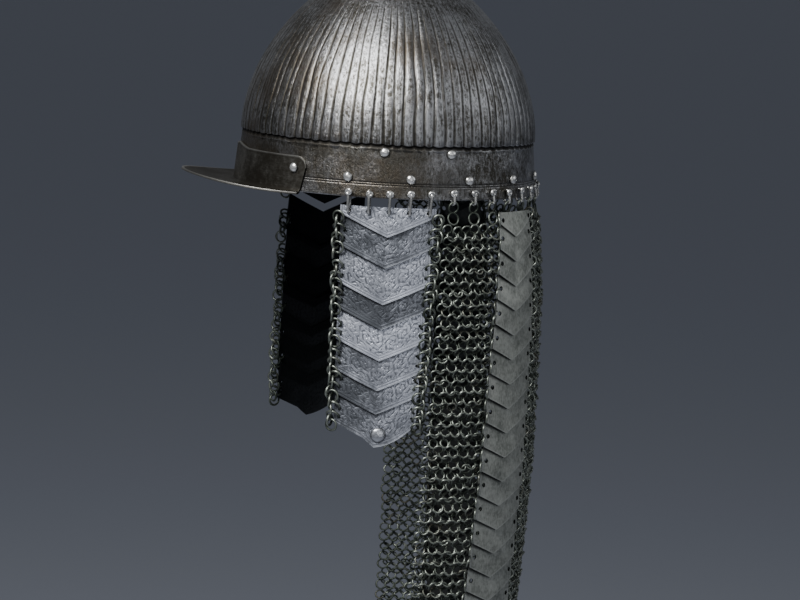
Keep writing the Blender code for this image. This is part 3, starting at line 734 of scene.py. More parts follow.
def make_peak(finish):
    """One wall: rows come down the flange, turn a quarter circle at its root and run out
    along the brim, whose rise is a power of the distance out.
    """
    swing = np.linspace(-1, 1, PEAK_COLUMNS)
    crowded = 1 - (1 - np.abs(swing)) ** PEAK_END_CROWDING
    bearing = PEAK_FLANGE_HALF_ANGLE * np.sign(swing) * crowded
    stand_off = PEAK_THICKNESS + FIT_GAP
    root = BRIM_ROOT_RADIUS
    rows = []
    marks = []
    for share in FLANGE_SHARES:
        z = share * flange_height(bearing)
        # the second mark is painted shade: full on the border line and half at the brim's root
        border = 1.0 if 0.93 < share < 0.96 else 0.0
        rows.append(around(band_radius(z) + stand_off, bearing + PEAK_END_SLANT * share * swing, z))
        marks.append(np.broadcast_to((0.5 + 0.5 * (share > 0.98), border, 0.0), rows[-1].shape))
    width = brim_width(bearing)
    for turn in np.radians(BRIM_ROOT_TURNS):
        out = np.minimum(root, width) * (1 - math.cos(turn))
        z = root * (1 - math.sin(turn))
        rows.append(around(band_radius(0.0) + stand_off + out, bearing, z))
        marks.append(np.broadcast_to((0.4, 0.5, 0.0), rows[-1].shape))
    for share in BRIM_SHARES:
        out = root + share * (width + PEAK_THICKNESS - root)
        rise = BRIM_RISE * (share * width / BRIM_DEPTH) ** BRIM_RISE_POWER
        rows.append(around(band_radius(0.0) + stand_off + out, bearing, rise))
        marks.append(np.broadcast_to((0.45 + 0.55 * (share > 0.96), 0.0, 0.0), rows[-1].shape))
    mesh = wall("peak_plate", np.stack(rows), PEAK_THICKNESS, marks=np.stack(marks))
    add_piece("peak_plate", mesh, finish, "dark_steel", "peak", edge_round=PEAK_EDGE_ROUND)


# Rivets and bosses

def make_dome(name, seat, frames, radius, rise, seed, finish, node, reeds=0):
    """A domed head: rows from its top out to a short upright edge and in across its flat
    back. A little hammering, or reeds across it, lowers the dome.
    """
    across, up, out = frames
    out_share, rise_share = DOME_PROFILE[:, :1], DOME_PROFILE[:, 1:]
    chance = np.random.default_rng(seed)
    turn = 2 * np.pi * np.arange(DOME_SIDES) / DOME_SIDES
    uneven = 1 + 0.045 * np.sin(turn * 2 + chance.uniform(0, 6)) + 0.02 * np.sin(turn * 5 + seed)
    reach = out_share * radius * uneven
    x, y = reach * np.cos(turn), reach * np.sin(turn)
    lumps = 0.06 * np.sin(x / radius * 3.4 + seed) * np.cos(y / radius * 3.1 - seed)
    if reeds:
        lumps = 0.10 * np.cos(x / radius * np.pi * reeds)
    height = rise_share * rise * (1 - np.abs(lumps) * (rise_share < 0.99))
    points = seat + x[..., None] * across + y[..., None] * up + height[..., None] * out
    marks = np.stack([rise_share + 0 * x, (rise_share < 0.2) + 0 * x, 0 * x], axis=-1)
    mesh = new_mesh(name, points, grid_faces(*points.shape[:2], wrap=True), marks=marks)
    merge_doubles(mesh)
    add_piece(name, mesh, finish, "bright_steel", node)


def rivet_seat(height):
    """Radius at which a flat head clears the band by the fit gap, over all its width."""
    return max(band_radius(height - RIVET_RADIUS), band_radius(height + RIVET_RADIUS)) + FIT_GAP


def make_rivets(finish):
    spread = 360.0 - 2 * LOWER_RIVET_FIRST_BEARING
    lower = LOWER_RIVET_FIRST_BEARING + spread * np.arange(LOWER_RIVET_COUNT) / (LOWER_RIVET_COUNT - 1)
    heads = [(f"lower_{number}", bearing, LOWER_RIVET_HEIGHT, 0.0)
             for number, bearing in enumerate(lower, start=1)]
    for side, sign in (("left", 1), ("right", -1)):
        heads += [(f"upper_{side}_{number}", sign * bearing, UPPER_RIVET_HEIGHT, 0.0)
                  for number, bearing in enumerate(UPPER_RIVET_BEARINGS, start=1)]
        heads.append((f"peak_{side}", sign * PEAK_RIVET_BEARING, PEAK_RIVET_HEIGHT,
                      PEAK_THICKNESS + FIT_GAP))
    for seed, (label, bearing, height, lift) in enumerate(heads):
        frames = [part[0] for part in radial_frames(bearing)]
        seat = around(rivet_seat(height) + lift, bearing, height)
        make_dome(f"rivet_head_{label}", seat, frames, RIVET_RADIUS, RIVET_DOME, seed, finish,
                  f"rivet_{label}")


# Cheekpieces

def cheek_lean():
    """How much nearer the head a plate gets for each metre up, so that it clears the next."""
    closest = min(1.0 + after - before for before, after in zip(CHEEK_HANG, CHEEK_HANG[1:]))
    return (CHEEK_PLATE_THICKNESS + CHEEK_PLATE_GAP) / (CHEEK_PITCH * closest)


def cheek_centre(side, z):
    """Bearing of a cheekpiece's middle line at a height."""
    sign, top, bottom = CHEEK_SIDES[side][:3]
    depth = np.clip(-z / (CHEEK_PITCH * CHEEK_PLATE_COUNT), 0, 1)
    return sign * (top + (bottom - top) * depth)


def cheek_half_width(number):
    share = (number - 1) / (CHEEK_PLATE_COUNT - 1)
    return CHEEK_TOP_HALF_WIDTH + (CHEEK_BOTTOM_HALF_WIDTH - CHEEK_TOP_HALF_WIDTH) * share


def cheek_tip(side, number):
    """Height of a plate's lower point."""
    slip, stretch = CHEEK_SIDES[side][3:]
    plates_above = (number - 1) * stretch + CHEEK_HANG[number - 1]
    return -CHEEK_FIRST_TIP_DROP - CHEEK_PITCH * plates_above - slip * (number > 1)


def cheek_point(side, number, across, z, proud=0.0):
    """Points on a plate's outer face: across is metres from its middle line to the back."""
    sign = CHEEK_SIDES[side][0]
    radius = CHEEK_RADIUS - cheek_lean() * (z - cheek_tip(side, number)) + proud
    middle = cheek_centre(side, cheek_tip(side, number))
    return around(radius, middle + sign * np.degrees(across / CHEEK_RADIUS), z)


def lobe_drop(swing):
    """How far the last plate's edge bulges below the chevron: half a sine wave, to the back."""
    share = (swing - CHEEK_LOBE_START) / (1.0 - CHEEK_LOBE_START)
    return CHEEK_LOBE * np.sin(np.maximum(0.0, share) * np.pi)


def link_plate_height():
    return -CHEEK_TOP_DROP - LINK_PLATE_HOLE_DROP


def link_bearings(side):
    sign, centre = CHEEK_SIDES[side][:2]
    from_middle = (np.arange(LINK_COUNT) - (LINK_COUNT - 1) / 2) * LINK_SPACING
    return sign * (centre + np.degrees(from_middle / CHEEK_RADIUS))


def make_cheek_plate(side, number, finish):
    """A bent plate with a chevron foot: the grid's rows run from its top to the chevron."""
    sign = CHEEK_SIDES[side][0]
    half = cheek_half_width(number)
    tip = cheek_tip(side, number)
    last = number == CHEEK_PLATE_COUNT
    swing = np.linspace(-1, 1, CHEEK_COLUMNS)[::sign]
    chevron = tip + np.abs(swing) * half * CHEEK_CHEVRON_SLOPE
    low = chevron - lobe_drop(swing) * last
    high = np.minimum(chevron + CHEEK_PITCH + CHEEK_OVERLAP,
                      link_plate_height() - CHEEK_TOP_BELOW_HOLES)
    if number == 1:
        high = np.full_like(low, -CHEEK_TOP_DROP)
    rows = np.linspace(1, 0, CHEEK_ROWS)[:, None]
    z = low + (high - low) * rows
    across = (swing * half) * np.ones_like(z)
    sag = CHEEK_SAG * np.sin(across / half * 5.1 + number * 1.7) * np.sin(z * 260 + number)
    points = cheek_point(side, number, across, z, proud=sag)
    rise = (z - low) / MM
    edge = (half - np.abs(across)) / MM
    plan = np.stack([across / MM + PATTERN_STEP * number, rise, edge], axis=-1)
    # partly rubbing, partly painted light: each plate's own lightness and its lighter back half stand
    # in for how it catches the light
    rub_and_sheen = CHEEK_TONES[number - 1] + CHEEK_TONE_SLOPES[number - 1] * across / half
    above = cheek_tip(side, number - 1) + np.abs(swing) * half * CHEEK_CHEVRON_SLOPE
    # painted shadow: a band below the edge of the plate above, wider towards the front, darkens the
    # plate
    grime_and_shadow = np.interp(swing, *SHADOW_REACHES) * MM
    under = np.clip((z - above + grime_and_shadow) / SHADOW_FADE, 0, 1) ** 1.5 * (number > 1)
    marks = np.stack([rub_and_sheen, under, np.zeros_like(z)], axis=-1)
    name = f"cheek_blade_{side}_{number}"
    mesh = wall(name, points, CHEEK_PLATE_THICKNESS, plan=plan, marks=marks)

    heights = edge_hole_heights(side, number)
    if heights.size:
        across = np.repeat((-1, 1), heights.size) * (half - EDGE_HOLE_INSET)
        centres = cheek_point(side, number, across, np.tile(heights, 2))
        mesh = pierce(mesh, centres, EDGE_HOLE_RADIUS)
    if number == 1:
        centres = around(CHEEK_RADIUS, link_bearings(side), link_plate_height() + LINK_PLATE_HOLE_LIFT)
        mesh = pierce(mesh, centres, LINK_PLATE_HOLE_RADIUS, depth=16 * MM, sides=18)
    mesh.set_sharp_from_angle(angle=SHARP_ANGLE)
    add_piece(name, mesh, finish, "plate_steel", f"cheek_plate_{side}_{number}",
              edge_round=CHEEK_EDGE_ROUND)


def make_boss(side, finish):
    """A reeded dome on the last plate, leaning as the plate leans."""
    sign = CHEEK_SIDES[side][0]
    tip = cheek_tip(side, CHEEK_PLATE_COUNT)
    bearing = cheek_centre(side, tip) + sign * math.degrees(BOSS_ACROSS / CHEEK_RADIUS)
    across, up, out = (part[0] for part in radial_frames(bearing))
    lean = math.atan(cheek_lean())
    frames = (across, up * math.cos(lean) - out * math.sin(lean),
              out * math.cos(lean) + up * math.sin(lean))
    seat = around(CHEEK_RADIUS - cheek_lean() * BOSS_RISE + FIT_GAP, bearing, tip + BOSS_RISE)
    make_dome(f"cheek_stud_{side}", seat, frames, BOSS_RADIUS, BOSS_DOME, 3, finish,
              f"cheek_boss_{side}", reeds=BOSS_REEDS)


# Links

def link_batch(bearings, top, foot, half_depth, seed):
    """Wire loops with a curled knob outside the rim at the top of each. A loop is two half
    circles and two straight legs, in a plane through the axis.

    top and foot are the height and radius of the middles of the two holes.
    """
    turn = np.linspace(-np.pi / 2, np.pi / 2, 9)
    loops = []
    for (height, radius), end in ((top, 1), (foot, -1)):
        out = radius + np.sin(turn) * end * half_depth
        rise = height + (np.cos(turn) - 0.4) * end * half_depth * 0.8
        loops.append(around(out[None], bearings[:, None], rise[None]))
    across, up, out = radial_frames(bearings)
    points, faces = tubes(np.concatenate(loops, axis=1), across, LINK_WIRE_RADIUS, 8)
    marks = np.broadcast_to((0.7, 0.5, 0.2), points.shape).reshape(-1, 3)
    wires = (points.reshape(-1, 3), faces, marks)
    chance = np.random.default_rng(seed)
    height = top[0] + chance.normal(0, KNOB_UNEVEN, len(bearings))
    centres = around(band_radius(top[0]) + KNOB_STAND_OFF, bearings, height)
    knobs = ring_points(centres, (across, up, out), KNOB_RADIUS, KNOB_WIRE_RADIUS, seed,
                        stretch=KNOB_HEIGHT_SHARE, steps=16, sides=8, loose=1.6)
    return wires, knobs


def make_links(finish):
    """A link at each hole of the cheekpieces, and the curtain's links all in one piece."""
    top = (LINK_HOLE_HEIGHT - LINK_TOP_SINK, band_radius(LINK_HOLE_HEIGHT) - SKULL_WALL / 2)
    for side in CHEEK_SIDES:
        lean = cheek_lean() * (link_plate_height() - cheek_tip(side, 1))
        foot = (link_plate_height(), CHEEK_RADIUS - lean - CHEEK_PLATE_THICKNESS / 2)
        for number, bearing in enumerate(link_bearings(side), start=1):
            batches = link_batch(np.array([bearing]), top, foot, LINK_HALF_DEPTH, 20 + number)
            add_rings(f"rim_link_{side}_{number}", finish, "bright_steel",
                      [f"cheek_link_{side}_{number}"], *batches)
    bearings = np.linspace(*MAIL_LINK_BEARINGS, MAIL_LINK_COUNT)
    top = (MAIL_LINK_HEIGHT, band_radius(MAIL_LINK_HEIGHT) - SKULL_WALL / 2)
    foot = (MAIL_LINK_FOOT, RIM_RADIUS)
    batches = link_batch(bearings, top, foot, MAIL_LINK_HALF_DEPTH, 31)
    add_rings("rim_links_mail", finish, "bright_steel", [], *batches)


# Chains at the cheekpieces' edges

def edge_hole_heights(side, number):
    """Heights of the holes by a plate's edges: they keep to its chevron's slope."""
    half = cheek_half_width(number)
    corner = cheek_tip(side, number) + half * CHEEK_CHEVRON_SLOPE
    heights = corner + np.array(EDGE_HOLE_RISES) - EDGE_HOLE_INSET * CHEEK_CHEVRON_SLOPE
    return heights[heights < -CHEEK_TOP_DROP - EDGE_HOLE_TOP_MARGIN]


def make_cheek_chain(side, edge, finish):
    """Rings down a cheekpiece's edge. A ring leans through each hole and round the edge, one
    hangs between two plates, and edge-on rings join them.
    """
    sign = CHEEK_SIDES[side][0]
    chance = np.random.default_rng(41 + edge)
    rows = []
    for number in range(1, CHEEK_PLATE_COUNT + 1):
        half = cheek_half_width(number)
        free = cheek_tip(side, number) + half * CHEEK_CHEVRON_SLOPE - CHAIN_FREE_DROP
        heights = np.append(edge_hole_heights(side, number)[::-1], free)
        for place, height in enumerate(heights):
            last = place == len(heights) - 1
            rows.append((height, half, *(CHAIN_FREE if last else CHAIN_AT_HOLE)))
            if not last or number < CHEEK_PLATE_COUNT:
                after = height - CHAIN_SPACING if last else heights[place + 1]
                past, lean, yaw = CHAIN_JOINING
                rows.append(((height + after) / 2, half, past, lean, yaw * (-1) ** place))
    height, half, past, lean, yaw = np.array(rows).T
    reach = half + past * MM + chance.normal(0, CHAIN_UNEVEN, len(half))
    middle = cheek_centre(side, height - CHEEK_PITCH / 2)
    bearing = middle + sign * edge * np.degrees(reach / CHEEK_RADIUS)
    centres = around(CHEEK_RADIUS - CHAIN_SINK, bearing, height)
    batch = ring_points(centres, radial_frames(bearing), CHAIN_RING_RADIUS, CHAIN_WIRE_RADIUS,
                        43 + edge, lean=lean, yaw=yaw, steps=16, sides=6, loose=2.0)
    where = f"{side}_front" if edge < 0 else f"{side}_back"
    add_rings(f"edge_chain_{where}", finish, "mail_steel", [f"cheek_mail_{where}"], batch)


# Neck curtain

def curtain_plan(drop):
    """Plan curves of the curtain at each drop, from the back to its left edge.

    |x/r|^n + |y/r|^n = 1, with n growing from 2 down the curtain. Gives x, y and length.
    """
    power = 2.0 + CURTAIN_SQUARENESS * drop[:, None]
    bearing = np.radians(np.linspace(180.0, CURTAIN_EDGE_BEARING, CURTAIN_SAMPLES))[None]
    sine, cosine = np.sin(bearing), -np.cos(bearing)
    full = RIM_RADIUS * np.interp(drop, CURTAIN_DROPS, CURTAIN_RADII)[:, None]
    radius = full * (np.abs(sine) ** power + np.abs(cosine) ** power) ** (-1 / power)
    x, y = radius * sine, radius * cosine
    steps = np.hypot(np.diff(x), np.diff(y))
    length = np.concatenate([np.zeros((len(drop), 1)), np.cumsum(steps, axis=1)], axis=1)
    return x, y, length


def curtain(share, drop, proud=0.0):
    """Points of the curtain's middle surface, a little proud of it if asked.

    The share runs from 0 at the back to 1 at CURTAIN_EDGE_BEARING on the left, where the
    hem's left corner is, and to -1 on the right.
    """
    share, drop, proud = np.broadcast_arrays(share, drop, proud)
    shape = share.shape
    share, drop, proud = share.ravel(), drop.ravel(), proud.ravel()
    x, y, length = curtain_plan(drop)
    at = np.abs(share) * length[:, -1]
    after = np.clip((length < at[:, None]).sum(axis=1), 1, CURTAIN_SAMPLES - 1)
    row = np.arange(len(drop))
    blend = (at - length[row, after - 1]) / (length[row, after] - length[row, after - 1])
    x = (x[row, after - 1] + blend * (x[row, after] - x[row, after - 1])) * np.sign(share)
    y = y[row, after - 1] + blend * (y[row, after] - y[row, after - 1])
    grown = 1.0 + proud / np.hypot(x, y)
    return np.stack([x * grown, y * grown, -drop * CURTAIN_LENGTH], axis=-1).reshape(*shape, 3)


def curtain_frames(share, drop):
    """Unit vectors across, up and out on the curtain."""
    step = 0.004
    across = unit(curtain(share - step, drop) - curtain(share + step, drop))
    up = curtain(share, drop - step) - curtain(share, drop + step)
    up = unit(up - across * np.sum(up * across, axis=-1, keepdims=True))
    return across, up, np.cross(across, up)


def edge_length():
    """The curtain's length from a share of 0 to 1, as a circle at its fullest."""
    return RIM_RADIUS * max(CURTAIN_RADII) * math.radians(180.0 - CURTAIN_EDGE_BEARING)


def share_of_bearing(bearing):
    return (180.0 - bearing) / (180.0 - CURTAIN_EDGE_BEARING)


def left_edge(drop):
    """Where the curtain ends at the left: its edge comes forward evenly down to the hem."""
    forward = CURTAIN_TOP_EDGE_BEARING + (CURTAIN_EDGE_BEARING - CURTAIN_TOP_EDGE_BEARING) * drop
    return share_of_bearing(forward)


def column_half_width(drop):
    """Half the width of a plate column: it widens evenly down to a share of its length."""
    widened = np.minimum(1.0, drop / COLUMN_WIDENING)
    return COLUMN_TOP_HALF_WIDTH + (COLUMN_HALF_WIDTH - COLUMN_TOP_HALF_WIDTH) * widened


def column_centre(side, drop):
    foot = COLUMN_FOOT_BEARINGS[side]
    return share_of_bearing(COLUMN_BEARING + (foot - COLUMN_BEARING) * drop)


def column_edge(side, drop, outward):
    """A column's edge towards the front, with outward 1, or towards the back, with -1."""
    return column_centre(side, drop) + outward * column_half_width(drop) / edge_length()


def make_mail(name, start, end, seed, finish, node):
    """A woven panel: rows of rings lean in turn to and from the head, and every other row is
    moved by half a ring, so that each ring takes in four. start and end give the panel's
    side shares at a drop; the rings are counted off from the start, as many as fit.
    """
    count = int((CURTAIN_LENGTH - FIRST_ROW_DROP - RING_RADIUS) / RING_ROW_PITCH) + 1
    row = np.arange(count)[:, None]
    drop = (FIRST_ROW_DROP + row * RING_ROW_PITCH) / CURTAIN_LENGTH
    ring = RING_SPACING / edge_length()
    width = np.abs(end(drop) - start(drop))
    along = (np.arange(int(np.max(width) / ring) + 1)[None] + 0.35 + 0.5 * (row % 2)) * ring
    share = start(drop) + np.sign(end(drop) - start(drop)) * along
    inside = along < width - 0.2 * ring
    lean = (np.where(row % 2 == 0, RING_LEAN, -RING_LEAN) * np.ones_like(share))[inside]
    drop = (drop + 0 * share)[inside]
    share = share[inside]
    centres = curtain(share, drop, RING_SINK)
    batch = ring_points(centres, curtain_frames(share, drop), RING_RADIUS, RING_WIRE_RADIUS, seed,
                        lean=lean, steps=11, loose=2.6)
    add_rings(name, finish, "mail_steel", [node], batch)


def make_hangers(finish):
    """The open rings under the rim's links: one at each link, and a wider one below it
    wherever no plate column begins.
    """
    bearings = np.linspace(*MAIL_LINK_BEARINGS, MAIL_LINK_COUNT)
    off_column = np.abs(np.where(bearings > 180, 360 - bearings, bearings) - COLUMN_BEARING)
    batches = []
    for where, row in zip((bearings, bearings[off_column > HANGER_FREE_SWING]), HANGERS):
        seed, drop, proud, radius, lean, stretch = row
        centres = around(RIM_RADIUS + proud * MM, where, -drop * MM)
        batches.append(ring_points(centres, radial_frames(where), radius * MM, RING_WIRE_RADIUS,
                                   seed, lean=lean, stretch=stretch, steps=16, sides=6))
    add_rings("mail_hangers", finish, "mail_steel", [], *batches)


def make_column(side, sign, finish, ring_finish):
    """Chevron plates from the hem up: each runs in under the plate above it, and a ring at
    each side of its foot and of its middle ties it to the mail.
    """
    pitch = (CURTAIN_LENGTH - COLUMN_TOP_DROP) / COLUMN_PLATE_COUNT
    gap = COLUMN_SIDE_GAP / edge_length()
    swing = np.linspace(-1, 1, COLUMN_COLUMNS)[::-sign]
    arm = np.abs(swing - COLUMN_TIP_SHIFT) * COLUMN_HALF_WIDTH * COLUMN_CHEVRON_SLOPE
    edge_spots = []
    for plate in range(COLUMN_PLATE_COUNT):
        topmost = plate == COLUMN_PLATE_COUNT - 1
        low = -CURTAIN_LENGTH + plate * pitch + arm
        top = np.full_like(low, -COLUMN_TOP_DROP) if topmost else low + pitch + COLUMN_TUCK
        z = low + (top - low) * np.linspace(1, 0, COLUMN_ROWS)[:, None]
        drop = np.clip(-z / CURTAIN_LENGTH, 0, 1)
        near, far = column_edge(side, drop, -1) + gap, column_edge(side, drop, 1) - gap
        share = near + (far - near) * (swing + 1) / 2
        climb = (z - low) / pitch
        bulge = COLUMN_BULGE * np.sin(swing * 3 + plate * 2.1)
        points = curtain(share, drop, COLUMN_PROUD + COLUMN_STEP * (1 - climb) + bulge)
        points[..., 0] *= sign
        points[..., 2] = z
        edge = (1 - np.abs(swing)) * column_half_width(drop) / MM
        plan = np.stack([np.zeros_like(z), (z - low) / MM, edge], axis=-1)
        # painted shadow below the plate above, as on the cheekpieces, wider towards the front edge
        grime_and_shadow = np.interp(swing, *COLUMN_SHADOW_REACHES) * MM
        under = np.clip((z - low - pitch + grime_and_shadow) / COLUMN_SHADOW_FADE, 0, 1) * (not topmost)
        marks = np.stack([np.full_like(z, 0.5), under, np.zeros_like(z)], axis=-1)
        name = f"neck_blade_{side}_{COLUMN_PLATE_COUNT - plate}"
        mesh = wall(name, points, COLUMN_THICKNESS, plan=plan, marks=marks)
        mesh = pierce(mesh, points[-9, [3, -4]], COLUMN_HOLE_RADIUS, depth=6 * MM, sides=12)
        mesh.set_sharp_from_angle(angle=SHARP_ANGLE)
        add_piece(name, mesh, finish, "neck_steel", f"neck_plates_{side}",
                  edge_round=COLUMN_EDGE_ROUND)
        edge_spots.append(points[[-4, -12]][:, [0, -1]].reshape(-1, 3))
    spots = np.concatenate(edge_spots)
    bearing = np.degrees(np.arctan2(spots[:, 0], -spots[:, 1]))
    frames = radial_frames(bearing)
    yaw = np.where(np.arange(len(spots)) % 2, COLUMN_RING_YAW, -COLUMN_RING_YAW)
    batch = ring_points(spots - frames[2] * COLUMN_RING_SINK, frames, COLUMN_RING_RADIUS,
                        RING_WIRE_RADIUS, 61 + sign, yaw=yaw, loose=2.0)
    add_rings(f"neck_rings_{side}", ring_finish, "mail_steel", [], batch)


def make_curtain(mail, plates):
    right_edge = -share_of_bearing(CURTAIN_RIGHT_EDGE_BEARING)
    make_mail("mail_rings_back", lambda drop: -column_edge("right", drop, -1),
              lambda drop: column_edge("left", drop, -1), 71, mail, "mail_back")
    make_mail("mail_rings_left", left_edge,
              lambda drop: column_edge("left", drop, 1), 72, mail, "mail_left")
    make_mail("mail_rings_right", lambda drop: right_edge + 0 * drop,
              lambda drop: -column_edge("right", drop, 1), 73, mail, "mail_right")
    make_hangers(mail)
    for side, sign in (("left", 1), ("right", -1)):
        make_column(side, sign, plates, mail)


# Finishes

def skull_steel():
    """Dark patinated steel, mottled all over: worn on the ribs, with painted highlights on their
    shoulders, near-black painted shade in the creases, and browner to the front. The band is dark too,
    with lighter patches, and painted shade under the lip, in its scored lines and on the inner face.
    """
    patina, bare = (0.060, 0.055, 0.044), (0.52, 0.52, 0.53)
    rust, shade_black = (0.085, 0.066, 0.044), (0.010, 0.009, 0.008)
    finish = Finish("skull_steel", 0.95)
    ridge, shadow, inner_shade = finish.attribute("marks")
    clouds = finish.noise(34 * MM, 4.0, 0.6)
    spots = finish.noise(4.5 * MM, 5.0, 0.75)
    specks = finish.noise(1.7 * MM, 3.0, 0.7, shares=(1.0, 1.0, 0.6))
    streaks = finish.noise(1.4 * MM, 4.0, 0.7, shares=(1.0, 1.0, 0.2))
    # painted highlight: a light line along each side of every crease, added to the worn share
    shoulder_highlight = finish.step(shadow, 0.1, 0.3) * (1.0 - finish.step(shadow, 0.34, 0.5))
    wear_and_sheen = clouds * 1.2 + spots * 1.1 + specks * 1.2 + streaks * 0.9 + shoulder_highlight * 0.35 - 1.85
    wear_and_sheen = finish.step(wear_and_sheen, 0.0, 0.8) * (1.0 - shadow * 0.5)
    behind = finish.step(finish.parts(finish.place)[1], -20 * MM, 90 * MM)
    patch = finish.step(finish.noise(21 * MM), 0.40, 0.62)
    rib = finish.step(ridge, 0.56, 0.72)
    wear_and_sheen = wear_and_sheen * (rib * 0.9 + (1.0 - rib) * (0.10 + patch * 0.45 + behind * 0.6))
    colour = finish.mixed(wear_and_sheen, patina, bare)
    brown = finish.step(finish.noise(40 * MM) + spots * 0.5 - behind * 0.12, 0.66, 0.95) * 0.7
    colour = finish.mixed(brown, colour, rust)
    # painted shade: the creases, the lip's undercut, the scored lines and the inner face are mixed
    # towards near black
    dark = finish.limited(finish.step(shadow, 0.3, 1.0) * 0.9 + inner_shade * 0.75)
    colour = finish.mixed(dark, colour, shade_black)
    roughness = 0.33 - wear_and_sheen * 0.10 + specks * 0.10 + dark * 0.3
    return finish.feed(colour, roughness, (spots, 0.55 * MM, 0.8),
                       (streaks * 0.4 + specks * 0.6, 0.42 * MM, 0.95))


def peak_steel():
    """The peak's steel: darker and smoother than the bowl, bright along its edges, with painted shade
    at its border line and the brim's root and on its inner face.
    """
    patina, bare, shade_black = (0.035, 0.031, 0.024), (0.30, 0.29, 0.265), (0.02, 0.02, 0.02)
    finish = Finish("peak_steel", 0.92)
    edge, shadow, inner_shade = finish.attribute("marks")
    clouds = finish.noise(30 * MM, 4.0, 0.6)
    spots = finish.noise(4.0 * MM, 5.0, 0.7)
    scratches = finish.noise(2.0 * MM, 4.0, 0.7, shares=(0.35, 0.35, 3.0))
    wear_and_sheen = finish.step(edge * 1.1 + clouds * 0.8 + spots * 0.6 + scratches * 0.4 - 1.3, 0.0, 0.9)
    # painted shade: where the shadow mark is set, less bare steel shows
    wear_and_sheen = wear_and_sheen * (1.0 - shadow * 0.6)
    # painted shade: the inner face is mixed towards near black
    colour = finish.mixed(inner_shade * 0.6, finish.mixed(wear_and_sheen, patina, bare), shade_black)
    roughness = 0.46 - wear_and_sheen * 0.12 + spots * 0.10
    return finish.feed(colour, roughness, (spots * 0.5 + scratches * 0.5, 0.18 * MM, 0.8))


def engraving(finish, across, rise):
    """Scrolling leaves: in every cell of a scattered lattice a lobed spiral leaf winds out from
    the cell's middle. 0 on a leaf, 1 on the sunk ground between.
    """
    plan = finish.node("ShaderNodeCombineXYZ", {}, {0: across, 1: rise})
    ripple = finish.noise(5.0, 2.0, vector=plan)
    cells = {"Vector": plan, "Scale": 0.11, "Randomness": 0.7}
    middle = finish.node("ShaderNodeTexVoronoi", {"voronoi_dimensions": "2D"}, cells, output=2)
    x, y, _ = finish.parts(finish.vector_maths("SUBTRACT", plan, middle))
    reach = finish.maths("SQRT", x * x + y * y)
    turn = finish.maths("ARCTAN2", y, x)
    spiral = turn * 0.5 + reach * 0.8 + ripple * 2.0
    lobed = turn * 2.5 - reach * 0.9 + ripple * 3.0
    scroll, lobes = (finish.maths("ABSOLUTE", finish.maths("SINE", wave)) for wave in (spiral, lobed))
    return 1.0 - finish.step(scroll * 0.7 + lobes * 0.6, 0.40, 1.0)


def plate_steel():
    """Greyish steel of the cheek plates: engraved leaves inside double borders, each plate worn and
    painted lighter in its own measure, a painted highlight on the lower lip of its hind half, painted
    shadow below the plate above and painted shade on its inner face.
    """
    patina, bare, groove = (0.085, 0.09, 0.10), (0.62, 0.64, 0.71), (0.045, 0.048, 0.055)
    bright, shade_black = (0.62, 0.64, 0.68), (0.008, 0.009, 0.010)
    finish = Finish("plate_steel", 0.85)
    across, rise, edge = finish.attribute("plan")
    rub_and_sheen, under, inner_shade = finish.attribute("marks")
    clouds = finish.noise(16 * MM, 4.0, 0.6)
    spots = finish.noise(3.0 * MM, 4.0, 0.7)
    border = finish.maths("MINIMUM", edge, rise * 0.92)
    outer_line, inner_line = (finish.maths("ABSOLUTE", border - inset) for inset in (1.5, 3.3))
    rails = 1.0 - finish.step(finish.maths("MINIMUM", outer_line, inner_line), 0.2, 0.5)
    leaves = engraving(finish, across, rise) * finish.step(border, 3.4, 4.0)
    kept = finish.step(clouds + spots * 0.6, 0.55, 0.95) * 0.55 + 0.45
    cut = finish.maths("MAXIMUM", rails * 0.5, leaves) * kept
    wear_and_sheen = finish.step(rub_and_sheen + clouds * 0.9 + spots * 0.8 - 0.90, 0.0, 1.0)
    colour = finish.mixed(cut * 0.75, finish.mixed(wear_and_sheen, patina, bare), groove)
    off_middle = across - PATTERN_STEP * finish.maths("ROUND", across / PATTERN_STEP)
    # painted highlight: the chevron's lower edge on the hind half is lightened, as if catching the
    # light
    lip = (1.0 - finish.step(rise, 0.3, 0.9)) * finish.step(off_middle, -3.0, 3.0)
    colour = finish.mixed(lip * 0.7, colour, bright)
    # painted shadow below the plate above and painted shade on the inner face, mixed towards near
    # black
    colour = finish.mixed(finish.limited(under * 0.9 + inner_shade * 0.96), colour, shade_black)
    roughness = 0.44 - wear_and_sheen * 0.13 + spots * 0.14 + inner_shade * 0.2
    return finish.feed(colour, roughness, (1.0 - cut, 0.20 * MM, 0.8), (spots, 0.14 * MM, 0.6))


def neck_steel():
    """Plain dull plates of the neck: greenish grey with small pits, paler worn edges, painted shadow
    below the plate above and painted shade on the inner face.
    """
    patina, bare = (0.15, 0.16, 0.142), (0.52, 0.53, 0.48)
    bright, shade_black = (0.60, 0.61, 0.58), (0.008, 0.008, 0.008)
    finish = Finish("neck_steel", 0.80)
    _, rise, edge = finish.attribute("plan")
    rub_and_sheen, under, inner_shade = finish.attribute("marks")
    clouds = finish.noise(14 * MM, 4.0, 0.6)
    spots = finish.noise(2.6 * MM, 5.0, 0.7)
    brushed = finish.noise(1.5 * MM, shares=(2.0, 2.0, 0.4))
    wear_and_sheen = finish.step(clouds * 0.9 + spots * 0.7 + brushed * 0.6 + rub_and_sheen * 0.3, 0.85, 1.6)
    rim = (1.0 - finish.step(finish.maths("MINIMUM", edge, rise), 0.3, 1.4)) * 0.35
    colour = finish.mixed(rim, finish.mixed(wear_and_sheen, patina, bare), bright)
    # painted shadow below the plate above and painted shade on the inner face, mixed towards near
    # black
    colour = finish.mixed(finish.limited(under * 0.85 + inner_shade * 0.9), colour, shade_black)
    roughness = 0.52 - wear_and_sheen * 0.10 + spots * 0.10
    return finish.feed(colour, roughness, (spots * 0.6 + brushed * 0.4, 0.14 * MM, 0.7))


